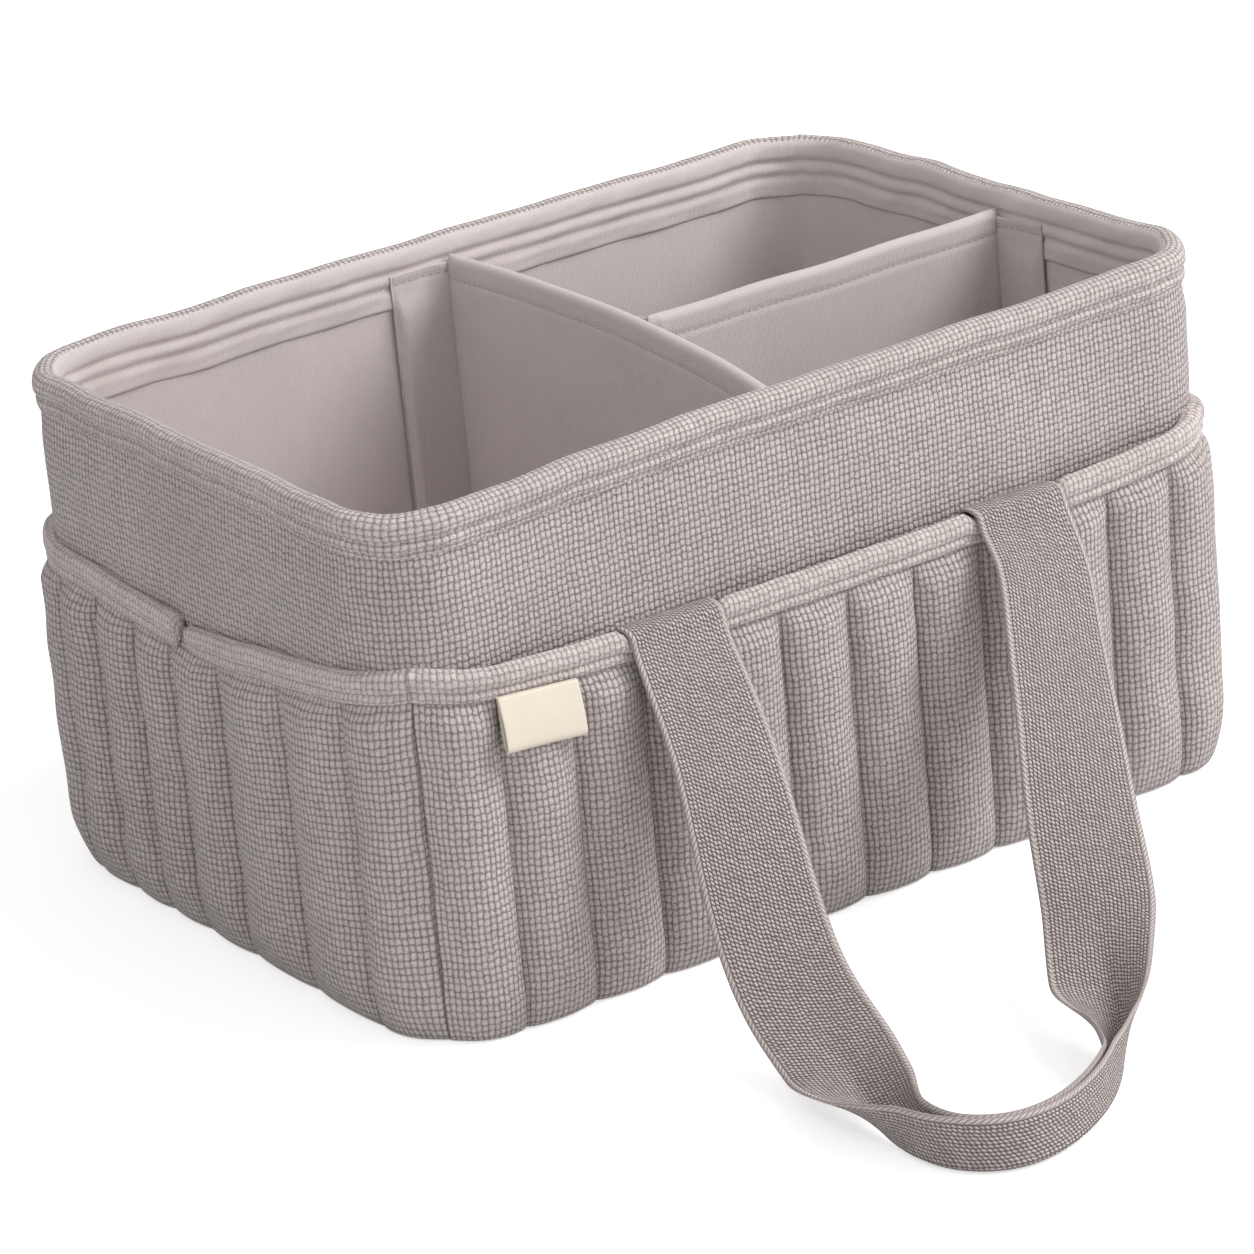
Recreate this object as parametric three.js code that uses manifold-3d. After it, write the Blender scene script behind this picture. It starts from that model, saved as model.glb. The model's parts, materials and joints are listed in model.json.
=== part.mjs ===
import * as THREE from 'three';
import Module from 'manifold-3d';

// Diaper caddy: an open padded cloth box with quilted pockets on all four sides, two webbing handles
// and two loose dividers. Millimetres, +Z up, +X along the length, front to -Y. The origin is on the
// floor at the middle of the base. Both handles lie out on the floor.

// Shell and rim
const SHELL_LENGTH = 360;
const SHELL_WIDTH = 253;
const RIM_HEIGHT = 200;
const SHELL_CORNER_RADIUS = 33;
const OUTER_CLOTH = 1.4;
const FOAM = 4;
const LINING = 1;
const BINDING = 1.2;
const BINDING_TAIL = 1;
const BINDING_CAP = 4.2;
const BINDING_DROP_OUTSIDE = 18;
const BINDING_DROP_INSIDE = 24;

// Base
const BASE_CLOTH = 1.6;
const BASE_SPREAD = 6;
const BASE_BOARD = 2.5;
const FLOOR_LINING = 1.2;

// Pockets
const FRONT_CORNER_HEIGHT = 141;
const REAR_CORNER_HEIGHT = 136;
const FRONT_MOUTH_HEIGHT = 134;
const REAR_MOUTH_HEIGHT = 134;
const SHORT_MOUTH_HEIGHT = 127;
const LONG_SAG_POWER = 3;
const SHORT_SAG_POWER = 1.2;
const LONG_POCKET_ROOM = 7.4;
const SHORT_POCKET_ROOM = 6.6;
const POCKET_CORNER_ROOM = 2.4;
const PANEL_THICKNESS = 2;
const SEAM_DEPTH = 0.6;
const CROWN_RISE = 3.6;
const CROWN_POWER = 0.6;
const PANEL_FOOT = 24;
const PANEL_INSIDE_FOOT = 6;
const SHOULDER = 12;
const CHANNELS_LONG = 12;
const CHANNELS_SHORT = 8;
const HEM_CLOTH = 1.4;
const HEM_HEIGHT = 12;
const HEM_CROWN = 3;
const HEM_CHEEK_DROP = 1;
const HEM_JOIN_FROM_MIDDLE = 10;

// Tag
const TAG_WIDTH = 33;
const TAG_HEIGHT = 22;
const TAG_LEAF = 1.1;
const TAG_FOLD_GAP = 0.6;
const TAG_CENTRE = -136;
const TAG_RISE = 1.5;
const TAG_LEAN_DEGREES = 12;

// Handles
const WEBBING_WIDTH = 40;
const WEBBING = 2;
const HANDLE_SPACING = 154;
const HANDLE_SHIFT = 1;
const HANDLE_REACH = 203;
const ANCHOR_LENGTH = 40;
const BEND_TAIL = 2;
const BEND_RADIUS = 3;
const BEND_CLEARANCE = 0.8;
const FOLD_RADIUS = 1.3;

// Dividers
const DIVIDER = 6;
const DIVIDER_CLOTH = 1.2;
const DIVIDER_BOARD = 2.6;
const DIVIDER_BELOW_RIM = 8;
const DIVIDER_END_GAP = 2;
const CROSS_DIVIDER_REAR = 7;
const CROSS_DIVIDER_FRONT = -9;
const CROSS_DIVIDER_BOW = 10;
const LONG_DIVIDER_LINE = -7;
const TAB_WIDTH = 24;
const TAB_CLOTH = 1.4;
const TAB_BELOW_DIVIDER = 4;
const HOOK_STRIP = 1;
const LOOP_STRIP = 1;
const STRIP_WIDTH = 19;
const STRIP_BOTTOM = 16;
const STRIP_BELOW_TAB = 20;

// Gaps between pieces that touch, and rings and steps of the surfaces
const GAP = 0.3;
const SOFT_GAP = 0.4;
const BEND_GAP = 0.6;
const PANEL_BACK = 0.6;
const SLIVER = 1e-6;
const LEAST_FOLD = 1e-3;
const CUT_OVERRUN = 5;
const STRAIGHT_STEPS = 6;
const RING_CORNER_STEPS = 3;
const ROLL_STEPS = 4;
const HEM_CORNER_STEPS = 4;
const CHANNEL_STEPS = 4;
const BEND_STEPS = 8;
const ROUTE_STEPS = 2;
const STRAIGHT_RINGS = 3;
const FOLD_STEPS = 3;
const DIVIDER_STEPS = 6;
const STRIP_STEPS = 2;

const HALF_LENGTH = SHELL_LENGTH / 2;
const HALF_WIDTH = SHELL_WIDTH / 2;
const QUARTER = Math.PI / 2;
const CORNER_HALF = Math.PI / 4;

// Heights and wall depths that follow from the sizes above. A reach is measured outwards from the
// outside of the shell, so what lies inside it has a negative one.
const WALL_BOTTOM = BASE_CLOTH + GAP;
const CLOTH_TOP = RIM_HEIGHT - BINDING_CAP - GAP;
const FOAM_OUT = -(OUTER_CLOTH + GAP);
const FOAM_IN = FOAM_OUT - FOAM;
const LINING_OUT = FOAM_IN - GAP;
const LINING_IN = LINING_OUT - LINING;
const BOARD_REACH = LINING_IN - GAP;
const BOARD_TOP = WALL_BOTTOM + BASE_BOARD;
const FLOOR_LINING_BOTTOM = BOARD_TOP + GAP;
const FLOOR_TOP = FLOOR_LINING_BOTTOM + FLOOR_LINING;
const BINDING_OUT = GAP + BINDING;
const BINDING_IN = LINING_IN - GAP - BINDING_TAIL;

const wasm = await Module();
wasm.setup();

const material = (name, color, roughness) => {
  const result = new THREE.MeshStandardMaterial({ color, roughness, metalness: 0 });
  result.name = name;
  return result;
};
const MATERIALS = {
  waffle: material('waffle_cloth', 0x9a8c88, 0.95),
  lining: material('lining_cloth', 0x8f807d, 0.9),
  webbing: material('webbing', 0x8d7f7b, 0.85),
  foam: material('foam', 0xe9e6df, 1),
  board: material('board', 0xd8d2c6, 0.8),
  tag: material('tag', 0xede3d3, 0.7),
  fastener: material('fastener_tape', 0x857875, 0.95),
};

// Triangles that fill an outline, in the outline's own order, using every point of it. The ear with
// the shortest way round is cut first, which keeps the triangles of a long section compact.
function earsOf(outline) {
  const way = Math.sign(THREE.ShapeUtils.area(outline));
  const areaOf = (corners) => way * THREE.ShapeUtils.area(corners.map((i) => outline[i]));
  const left = outline.map((_, i) => i);
  const faces = [];
  while (left.length > 3) {
    let best = { around: Infinity };
    left.forEach((i, place) => {
      const corners = [left.at(place - 1), i, left[(place + 1) % left.length]];
      const inTurn = corners.map((corner, k) => [corner, corners[(k + 1) % 3]]);
      const around = inTurn.reduce((sum, [p, q]) => sum + outline[p].distanceTo(outline[q]), 0);
      const others = left.filter((other) => !corners.includes(other));
      const holds = (other) => inTurn.every(([p, q]) => areaOf([p, q, other]) > -SLIVER);
      if (around < best.around && areaOf(corners) > SLIVER && !others.some(holds)) {
        best = { around, place, corners };
      }
    });
    faces.push(best.corners);
    left.splice(best.place, 1);
  }
  faces.push(left);
  return faces;
}

// Closed surface over rings of points. Each ring has its neighbour's count of points, and caps close
// the first and last ring unless the rings themselves close into a loop.
function surface(rings, looped, capOutline) {
  const count = rings[0].length;
  const positions = rings.flat().flatMap((point) => [point.x, point.y, point.z]);
  const index = [];
  const last = looped ? rings.length : rings.length - 1;
  for (let ring = 0; ring < last; ring += 1) {
    const here = ring * count;
    const there = ((ring + 1) % rings.length) * count;
    for (let i = 0; i < count; i += 1) {
      const next = (i + 1) % count;
      // The diagonal climbs from this ring to the next one, so layers bend alike at their quads.
      if (rings[ring][i].z <= rings[ring][next].z) {
        index.push(here + i, there + i, there + next, here + i, there + next, here + next);
      } else {
        index.push(here + i, there + i, here + next, there + i, there + next, here + next);
      }
    }
  }
  if (!looped) {
    const lastStart = (rings.length - 1) * count;
    for (const [i, j, k] of earsOf(capOutline(0))) index.push(i, j, k);
    for (const [i, j, k] of earsOf(capOutline(rings.length - 1))) {
      index.push(lastStart + i, lastStart + k, lastStart + j);
    }
  }
  const geometry = new THREE.BufferGeometry();
  geometry.setAttribute('position', new THREE.Float32BufferAttribute(positions, 3));
  geometry.setIndex(index);
  return facedOut(geometry);
}

function signedVolume(geometry) {
  const position = geometry.getAttribute('position');
  const corner = [new THREE.Vector3(), new THREE.Vector3(), new THREE.Vector3()];
  let volume = 0;
  for (let i = 0; i < geometry.index.count; i += 3) {
    corner.forEach((point, k) => point.fromBufferAttribute(position, geometry.index.getX(i + k)));
    volume += corner[0].dot(corner[1].cross(corner[2])) / 6;
  }
  return volume;
}

function facedOut(geometry) {
  if (signedVolume(geometry) < 0) {
    const order = geometry.index.array;
    for (let i = 0; i < order.length; i += 3) {
      [order[i + 1], order[i + 2]] = [order[i + 2], order[i + 1]];
    }
  }
  return geometry;
}

const flat = (outline) => outline.map(([across, up]) => new THREE.Vector2(across, up));

// The four sides, each seen from outside: half its run, how far its face is out, its turn about Z, its
// channels, the room in its pocket, and the heights of the pocket's mouth at the start, middle and end.
const longSide = {
  halfRun: HALF_LENGTH,
  face: HALF_WIDTH,
  channels: CHANNELS_LONG,
  room: LONG_POCKET_ROOM,
  sagPower: LONG_SAG_POWER,
};
const shortSide = {
  halfRun: HALF_WIDTH,
  face: HALF_LENGTH,
  channels: CHANNELS_SHORT,
  room: SHORT_POCKET_ROOM,
  middle: SHORT_MOUTH_HEIGHT,
  sagPower: SHORT_SAG_POWER,
};
const SIDES = {
  front: {
    ...longSide,
    turn: 0,
    start: FRONT_CORNER_HEIGHT,
    middle: FRONT_MOUTH_HEIGHT,
    end: FRONT_CORNER_HEIGHT,
  },
  right: { ...shortSide, turn: QUARTER, start: FRONT_CORNER_HEIGHT, end: REAR_CORNER_HEIGHT },
  rear: {
    ...longSide,
    turn: 2 * QUARTER,
    start: REAR_CORNER_HEIGHT,
    middle: REAR_MOUTH_HEIGHT,
    end: REAR_CORNER_HEIGHT,
  },
  left: { ...shortSide, turn: 3 * QUARTER, start: REAR_CORNER_HEIGHT, end: FRONT_CORNER_HEIGHT },
};

// A side runs from the middle of one corner to the middle of the next. Places along it are lengths
// measured at the pockets' seam line, from the middle of the side.
const SEAM_RADIUS = SHELL_CORNER_RADIUS + LONG_POCKET_ROOM + PANEL_THICKNESS;
const straightHalf = (side) => side.halfRun - SHELL_CORNER_RADIUS;
const runHalf = (side) => straightHalf(side) + CORNER_HALF * SEAM_RADIUS;
const cornerAngle = (side, along) => Math.max(0, Math.abs(along) - straightHalf(side)) / SEAM_RADIUS;

function wallPoint(side, along, reach, height) {
  const angle = cornerAngle(side, along);
  const radius = SHELL_CORNER_RADIUS + reach;
  const straight = Math.min(Math.abs(along), straightHalf(side));
  const run = Math.sign(along) * (straight + radius * Math.sin(angle));
  const out = side.face - SHELL_CORNER_RADIUS + radius * Math.cos(angle);
  const point = new THREE.Vector3(run, -out, height);
  return point.applyAxisAngle(new THREE.Vector3(0, 0, 1), side.turn);
}

const steps = (from, to, count) =>
  Array.from({ length: count + 1 }, (_, i) => from + ((to - from) * i) / count);

// Places along a side: even steps on the straight, even turns round each half corner.
function placesAlong(side, cornerSteps, trim = 0) {
  const straight = straightHalf(side);
  const end = runHalf(side) - trim;
  return [
    ...steps(-end, -straight, cornerSteps).slice(0, -1),
    ...steps(-straight, straight, STRAIGHT_STEPS),
    ...steps(straight, end, cornerSteps).slice(1),
  ];
}

// A band right round the box with one section, given as [reach, height] points.
function ringBand(section) {
  const rings = Object.values(SIDES).flatMap((side) =>
    placesAlong(side, RING_CORNER_STEPS)
      .slice(0, -1)
      .map((along) => section.map(([reach, height]) => wallPoint(side, along, reach, height))));
  return surface(rings, true);
}

// A band along one side, whose section may change from place to place.
function sideBand(side, places, sectionAt) {
  const sections = places.map(sectionAt);
  const rings = sections.map((section, i) =>
    section.map(([reach, height]) => wallPoint(side, places[i], reach, height)));
  return surface(rings, false, (end) => flat(sections[end]));
}

// A plate inside the outline at one reach.
function plate(reach, bottom, top) {
  const outlineAt = (height) => Object.values(SIDES).flatMap((side) =>
    placesAlong(side, RING_CORNER_STEPS)
      .slice(0, -1)
      .map((along) => wallPoint(side, along, reach, height)));
  const rings = [outlineAt(bottom), outlineAt(top)];
  return surface(rings, false, (end) => rings[end].map((p) => new THREE.Vector2(p.x, p.y)));
}

const slab = (near, far, bottom, top) => [[near, bottom], [far, bottom], [far, top], [near, top]];

function rimSection() {
  const middle = (BINDING_OUT + BINDING_IN) / 2;
  const radius = (BINDING_OUT - BINDING_IN) / 2;
  const roll = steps(0, Math.PI, ROLL_STEPS).map((angle) =>
    [middle + radius * Math.cos(angle), RIM_HEIGHT - radius + radius * Math.sin(angle)]);
  return [
    [BINDING_OUT, RIM_HEIGHT - BINDING_DROP_OUTSIDE],
    ...roll,
    [BINDING_IN, RIM_HEIGHT - BINDING_DROP_INSIDE],
    [LINING_IN - GAP, RIM_HEIGHT - BINDING_DROP_INSIDE],
    [LINING_IN - GAP, CLOTH_TOP + GAP],
    [GAP, CLOTH_TOP + GAP],
    [GAP, RIM_HEIGHT - BINDING_DROP_OUTSIDE],
  ];
}

// The pocket mouth sags between the corners, and the pocket closes towards them.
function mouthHeight(side, along) {
  const share = Math.min(1, Math.abs(along) / runHalf(side));
  const corner = along < 0 ? side.start : side.end;
  return side.middle + (corner - side.middle) * share ** side.sagPower;
}

function roomAt(side, along) {
  const open = Math.cos(2 * cornerAngle(side, along));
  return POCKET_CORNER_ROOM + (side.room - POCKET_CORNER_ROOM) * open;
}

// How far out the panel's neck under the hem lies. At the corners both kinds of side meet.
function neckAt(side, along) {
  const open = Math.cos(2 * cornerAngle(side, along));
  return SHORT_POCKET_ROOM + (side.room - SHORT_POCKET_ROOM) * open + PANEL_THICKNESS;
}

// Quilted panel: [height above the panel's foot as a share of PANEL_FOOT, share of the full reach].
const FOOT_SHARES = [[0, 0.62], [0.06, 0.78], [0.22, 0.91], [0.5, 0.975], [1, 1]];

function panelSection(side, along) {
  const channel = ((along + runHalf(side)) / (2 * runHalf(side))) * side.channels;
  const phase = channel - Math.floor(channel + SLIVER);
  const crown = Math.max(0, Math.sin(Math.PI * phase)) ** CROWN_POWER;
  const room = roomAt(side, along);
  const neck = neckAt(side, along);
  const reach = neck - SEAM_DEPTH + (SEAM_DEPTH + CROWN_RISE) * crown;
  const hemBottom = mouthHeight(side, along) - HEM_HEIGHT;
  const top = mouthHeight(side, along) - HEM_CROWN;
  return [
    [PANEL_BACK, WALL_BOTTOM],
    ...FOOT_SHARES.map(([upShare, reachShare]) =>
      [reach * reachShare, WALL_BOTTOM + PANEL_FOOT * upShare]),
    [reach, hemBottom - SHOULDER],
    [(reach + neck) / 2, hemBottom - SOFT_GAP],
    [neck, hemBottom],
    [neck, top],
    [room, top],
    [room, WALL_BOTTOM + PANEL_FOOT],
    [PANEL_BACK, WALL_BOTTOM + PANEL_INSIDE_FOOT],
  ];
}

function pocketPanel(side) {
  const end = runHalf(side) - GAP / 2;
  const places = steps(-end, end, side.channels * CHANNEL_STEPS);
  return sideBand(side, places, (along) => panelSection(side, along));
}

function hemSection(side, along) {
  const top = mouthHeight(side, along);
  const bottom = top - HEM_HEIGHT;
  const outside = neckAt(side, along) + SOFT_GAP + HEM_CLOTH;
  const inside = roomAt(side, along) - SOFT_GAP - HEM_CLOTH;
  const shoulder = top - HEM_CROWN;
  const cheek = HEM_CLOTH / 2;
  return [
    [outside, bottom],
    [outside, shoulder],
    [outside - cheek, top - HEM_CHEEK_DROP],
    [(outside + inside) / 2, top],
    [inside + cheek, top - HEM_CHEEK_DROP],
    [inside, shoulder],
    [inside, bottom],
    [inside + HEM_CLOTH, bottom],
    [inside + HEM_CLOTH, shoulder + SOFT_GAP],
    [outside - HEM_CLOTH, shoulder + SOFT_GAP],
    [outside - HEM_CLOTH, bottom],
  ];
}

function pocketHem(side, from = -Infinity, to = Infinity) {
  const all = placesAlong(side, HEM_CORNER_STEPS, GAP / 2);
  const inside = all.filter((along) => along > from && along < to);
  const places = [
    ...(Number.isFinite(from) ? [from] : []),
    ...inside,
    ...(Number.isFinite(to) ? [to] : []),
  ];
  return sideBand(side, places, (along) => hemSection(side, along));
}

// Folded tag: two leaves and a fold at the bottom, hung from its top edge.
const FRONT_HEM_REACH = LONG_POCKET_ROOM + PANEL_THICKNESS + SOFT_GAP + HEM_CLOTH;
const TAG_BACK = FRONT_HEM_REACH + GAP;
const TAG_TOP = mouthHeight(SIDES.front, TAG_CENTRE) - HEM_HEIGHT + TAG_RISE;

function tagGeometry() {
  const depth = 2 * TAG_LEAF + TAG_FOLD_GAP;
  const outline = [
    [0, 0],
    [TAG_LEAF, 0],
    [TAG_LEAF, -TAG_HEIGHT + TAG_LEAF],
    [TAG_LEAF + TAG_FOLD_GAP, -TAG_HEIGHT + TAG_LEAF],
    [TAG_LEAF + TAG_FOLD_GAP, 0],
    [depth, 0],
    [depth, -TAG_HEIGHT + TAG_LEAF],
    [depth - TAG_LEAF / 2, -TAG_HEIGHT],
    [TAG_LEAF / 2, -TAG_HEIGHT],
    [0, -TAG_HEIGHT + TAG_LEAF],
  ];
  const rings = [-TAG_WIDTH / 2, TAG_WIDTH / 2].map((x) =>
    outline.map(([out, up]) => new THREE.Vector3(x, -out, up)));
  return surface(rings, false, () => flat(outline));
}

// Webbing handle. The strap is sewn to the shell inside the pocket mouth, bends over the hem and runs
// out to a grip, where it is folded lengthwise, face inwards, and its two edges are sewn together.
const STRAP_IN = SOFT_GAP + WEBBING / 2;
const STRAP_OUT = FRONT_HEM_REACH + BEND_CLEARANCE + WEBBING / 2;
const STRAP_FACE_LEAN = 0.3;
const strapAlong = (end) => HANDLE_SHIFT + (end * HANDLE_SPACING) / 2;
const mouthUnderStrap = (side, end) => Math.max(...[-1, 1].map((edge) =>
  mouthHeight(side, strapAlong(end) + (edge * WEBBING_WIDTH) / 2)));
const bendHeight = (side, end) => mouthUnderStrap(side, end) + SOFT_GAP + WEBBING / 2 - BEND_RADIUS;

// Route of the loop: [share of the spacing from the left strap, share of the reach, share of the start
// height, share of the fold, share by which the strap's face looks up].
const ROUTE_SHARES = [
  [0, 0, 1, 0, 0],
  [-0.005, 0.038, 0.895, 0, 0],
  [-0.02, 0.105, 0.744, 0, 0],
  [-0.045, 0.18, 0.57, 0, 0.1],
  [-0.078, 0.275, 0.365, 0, 0.3],
  [-0.12, 0.41, 0.185, 0, 0.7],
  [-0.165, 0.555, 0.085, 0.08, 1],
  [-0.205, 0.685, 0.03, 0.4, 1],
  [-0.225, 0.813, 0, 0.85, 1],
  [-0.203, 0.916, 0, 1, 1],
  [-0.137, 0.98, 0, 1, 1],
  [-0.033, 1, 0, 1, 1],
  [0.098, 0.975, 0, 1, 1],
  [0.229, 0.906, 0, 1, 1],
  [0.34, 0.81, 0.025, 0.7, 1],
  [0.46, 0.69, 0.12, 0.2, 1],
  [0.575, 0.57, 0.24, 0, 0.8],
  [0.695, 0.434, 0.38, 0, 0.5],
  [0.82, 0.29, 0.56, 0, 0.2],
  [0.92, 0.155, 0.745, 0, 0],
  [0.982, 0.046, 0.9, 0, 0],
  [1, 0, 1, 0, 0],
];

// Section of the webbing for one fold angle, as [across, towards the strap's face].
function strapSection(foldAngle) {
  const fold = Math.max(foldAngle, LEAST_FOLD);
  const arcLength = Math.PI * FOLD_RADIUS;
  const radius = arcLength / fold;
  const leg = (WEBBING_WIDTH - arcLength) / 2;
  const middle = steps(-fold / 2, fold / 2, FOLD_STEPS).map((angle) => ({
    across: radius * Math.sin(angle),
    up: radius * (1 - Math.cos(angle)),
    angle,
  }));
  const [start, end] = [[middle[0], -leg], [middle.at(-1), leg]].map(([place, run]) => ({
    across: place.across + run * Math.cos(place.angle),
    up: place.up + run * Math.sin(place.angle),
    angle: place.angle,
  }));
  const line = [start, ...middle, end];
  const offset = ({ across, up, angle }, face) =>
    [across - (face * WEBBING * Math.sin(angle)) / 2, up + (face * WEBBING * Math.cos(angle)) / 2];
  return [...line.map((place) => offset(place, -1)), ...line.reverse().map((place) => offset(place, 1))];
}

function handleLoop(side) {
  const startHeight = (bendHeight(side, -1) + bendHeight(side, 1)) / 2;
  const points = ROUTE_SHARES.map(([acrossShare, outShare, upShare]) => new THREE.Vector3(
    strapAlong(-1) + acrossShare * HANDLE_SPACING,
    -(HALF_WIDTH + STRAP_OUT + outShare * HANDLE_REACH),
    WEBBING / 2 + upShare * (startHeight - GAP - WEBBING / 2)));
  points[0].z = bendHeight(side, -1) - GAP;
  points[points.length - 1].z = bendHeight(side, 1) - GAP;
  const curve = new THREE.CatmullRomCurve3(points);
  const count = (points.length - 1) * ROUTE_STEPS;
  const down = new THREE.Vector3(0, 0, -1);
  const sections = [];
  const rings = steps(0, 1, count).map((share, i) => {
    const row = Math.min(points.length - 2, Math.floor(share * (points.length - 1)));
    const part = share * (points.length - 1) - row;
    const blend = (column) =>
      THREE.MathUtils.lerp(ROUTE_SHARES[row][column], ROUTE_SHARES[row + 1][column], part);
    const centre = curve.getPoint(share);
    const tangent = curve.getTangent(share);
    const end = Math.min(i, count - i);
    const way = i < count / 2 ? 1 : -1;
    tangent.lerp(down.clone().multiplyScalar(way), Math.max(0, 1 - end / STRAIGHT_RINGS)).normalize();
    const face = new THREE.Vector3(0, -1, STRAP_FACE_LEAN).lerp(new THREE.Vector3(0, 0, 1), blend(4));
    face.addScaledVector(tangent, -face.dot(tangent)).normalize();
    const across = new THREE.Vector3().crossVectors(tangent, face);
    const section = strapSection(Math.PI * blend(3));
    sections.push(section);
    return section.map(([aside, up]) =>
      centre.clone().addScaledVector(across, aside).addScaledVector(face, up));
  });
  return surface(rings, false, (end) => flat(sections[end === 0 ? 0 : sections.length - 1]));
}

function strapBend(side, end) {
  const height = bendHeight(side, end);
  const corner = (centre, from, to) => steps(from, to, BEND_STEPS / 2).map((angle) => ({
    reach: centre + BEND_RADIUS * Math.cos(angle),
    height: height + BEND_RADIUS * Math.sin(angle),
    angle,
  }));
  const line = [
    { reach: STRAP_IN, height: height - BEND_TAIL, angle: Math.PI },
    ...corner(STRAP_IN + BEND_RADIUS, Math.PI, QUARTER),
    ...corner(STRAP_OUT - BEND_RADIUS, QUARTER, 0),
  ];
  const offset = (place, face) => [
    place.reach + (face * WEBBING * Math.cos(place.angle)) / 2,
    place.height + (face * WEBBING * Math.sin(place.angle)) / 2,
  ];
  const outline = [
    ...line.map((place) => offset(place, 1)),
    ...line.slice().reverse().map((place) => offset(place, -1)),
  ];
  return strapPrism(end, outline);
}

function strapAnchor(side, end) {
  const top = bendHeight(side, end) - BEND_TAIL - GAP;
  return strapPrism(end, [
    [STRAP_IN - WEBBING / 2, top - ANCHOR_LENGTH],
    [STRAP_IN + WEBBING / 2, top - ANCHOR_LENGTH],
    [STRAP_IN + WEBBING / 2, top],
    [STRAP_IN - WEBBING / 2, top],
  ]);
}

function strapPrism(end, outline) {
  const rings = [-WEBBING_WIDTH / 2, WEBBING_WIDTH / 2].map((edge) =>
    outline.map(([reach, height]) =>
      new THREE.Vector3(strapAlong(end) + edge, -(HALF_WIDTH + reach), height)));
  return surface(rings, false, () => flat(outline));
}

// Dividers stand on a line across the floor. A line gives a point and a sideways normal for a place.
const INNER_HALF_LENGTH = HALF_LENGTH + LINING_IN;
const INNER_HALF_WIDTH = HALF_WIDTH + LINING_IN;
const CROSS_END = INNER_HALF_WIDTH - DIVIDER_END_GAP;
const DIVIDER_BOTTOM = FLOOR_TOP + GAP;
const DIVIDER_TOP = RIM_HEIGHT - DIVIDER_BELOW_RIM;
const TAB_TOP = DIVIDER_TOP - TAB_BELOW_DIVIDER;
const STRIP_TOP = TAB_TOP - STRIP_BELOW_TAB;

const crossX = (y) => {
  const share = y / CROSS_END;
  const middle = (CROSS_DIVIDER_REAR + CROSS_DIVIDER_FRONT) / 2;
  const lean = (CROSS_DIVIDER_REAR - CROSS_DIVIDER_FRONT) / 2;
  return middle + lean * share + CROSS_DIVIDER_BOW * (1 - share * share);
};
const crossSlope = (y) => {
  const lean = (CROSS_DIVIDER_REAR - CROSS_DIVIDER_FRONT) / 2;
  return (lean - 2 * CROSS_DIVIDER_BOW * (y / CROSS_END)) / CROSS_END;
};
function crossLine(y, aside) {
  const length = Math.hypot(1, crossSlope(y));
  return [crossX(y) + aside / length, y - (aside * crossSlope(y)) / length];
}
const longLine = (x, aside) => [x, LONG_DIVIDER_LINE + aside];

function standingBand(line, from, to, count, section) {
  const rings = steps(from, to, count).map((place) =>
    section.map(([aside, height]) => new THREE.Vector3(...line(place, aside), height)));
  return surface(rings, false, () => flat(section));
}

function solidOf(geometry) {
  return new wasm.Manifold(new wasm.Mesh({
    numProp: 3,
    vertProperties: new Float32Array(geometry.getAttribute('position').array),
    triVerts: new Uint32Array(geometry.index.array),
  }));
}

function cut(geometry, tool) {
  const result = solidOf(geometry).subtract(solidOf(tool)).getMesh();
  const cutGeometry = new THREE.BufferGeometry();
  cutGeometry.setAttribute('position', new THREE.Float32BufferAttribute(result.vertProperties, 3));
  cutGeometry.setIndex([...result.triVerts]);
  return cutGeometry;
}

// Divider cover: a cloth bag with a round top, open at the bottom, that holds the board.
function dividerCover(line, from, to) {
  const half = DIVIDER / 2;
  const crown = steps(0, Math.PI, ROLL_STEPS).map((angle) =>
    [half * Math.cos(angle), DIVIDER_TOP - half + half * Math.sin(angle)]);
  const outside = [[-half, DIVIDER_BOTTOM], [half, DIVIDER_BOTTOM], ...crown];
  const hollow = half - DIVIDER_CLOTH;
  const inside = slab(-hollow, hollow, DIVIDER_BOTTOM - CUT_OVERRUN, DIVIDER_TOP - half);
  return cut(
    standingBand(line, from, to, DIVIDER_STEPS, outside),
    standingBand(line, from + DIVIDER_CLOTH, to - DIVIDER_CLOTH, DIVIDER_STEPS, inside));
}

function dividerBoard(line, from, to) {
  const inset = DIVIDER_CLOTH + SOFT_GAP;
  const half = DIVIDER_BOARD / 2;
  const section = slab(-half, half, DIVIDER_BOTTOM, DIVIDER_TOP - DIVIDER / 2 - SOFT_GAP);
  return standingBand(line, from + inset, to - inset, DIVIDER_STEPS, section);
}

// Depths of a tab's fastening, from the face that it is fixed to: loop strip, hook strip, then the tab.
const LOOP_NEAR = GAP;
const LOOP_FAR = LOOP_NEAR + LOOP_STRIP;
const HOOK_NEAR = LOOP_FAR + GAP;
const HOOK_FAR = HOOK_NEAR + HOOK_STRIP;
const TAB_NEAR = HOOK_FAR + GAP;
const TAB_FAR = TAB_NEAR + TAB_CLOTH;
const STRIP_INSET = (TAB_WIDTH - STRIP_WIDTH) / 2;

// Pieces of one tab. A line gives the fixed face, and the tab runs along it from its root.
function tabPieces(line, root, way) {
  const run = (inset, near, far, bottom, top) => {
    const from = root + way * inset;
    const to = root + way * (TAB_WIDTH - inset);
    return standingBand(line, from, to, STRIP_STEPS, slab(near, far, bottom, top));
  };
  return {
    loop: run(STRIP_INSET, LOOP_NEAR, LOOP_FAR, STRIP_BOTTOM, STRIP_TOP),
    hook: run(STRIP_INSET, HOOK_NEAR, HOOK_FAR, STRIP_BOTTOM, STRIP_TOP),
    tab: run(0, TAB_NEAR, TAB_FAR, DIVIDER_BOTTOM, TAB_TOP),
  };
}

const caddy = new THREE.Group();
caddy.name = 'diaper_caddy';

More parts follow.
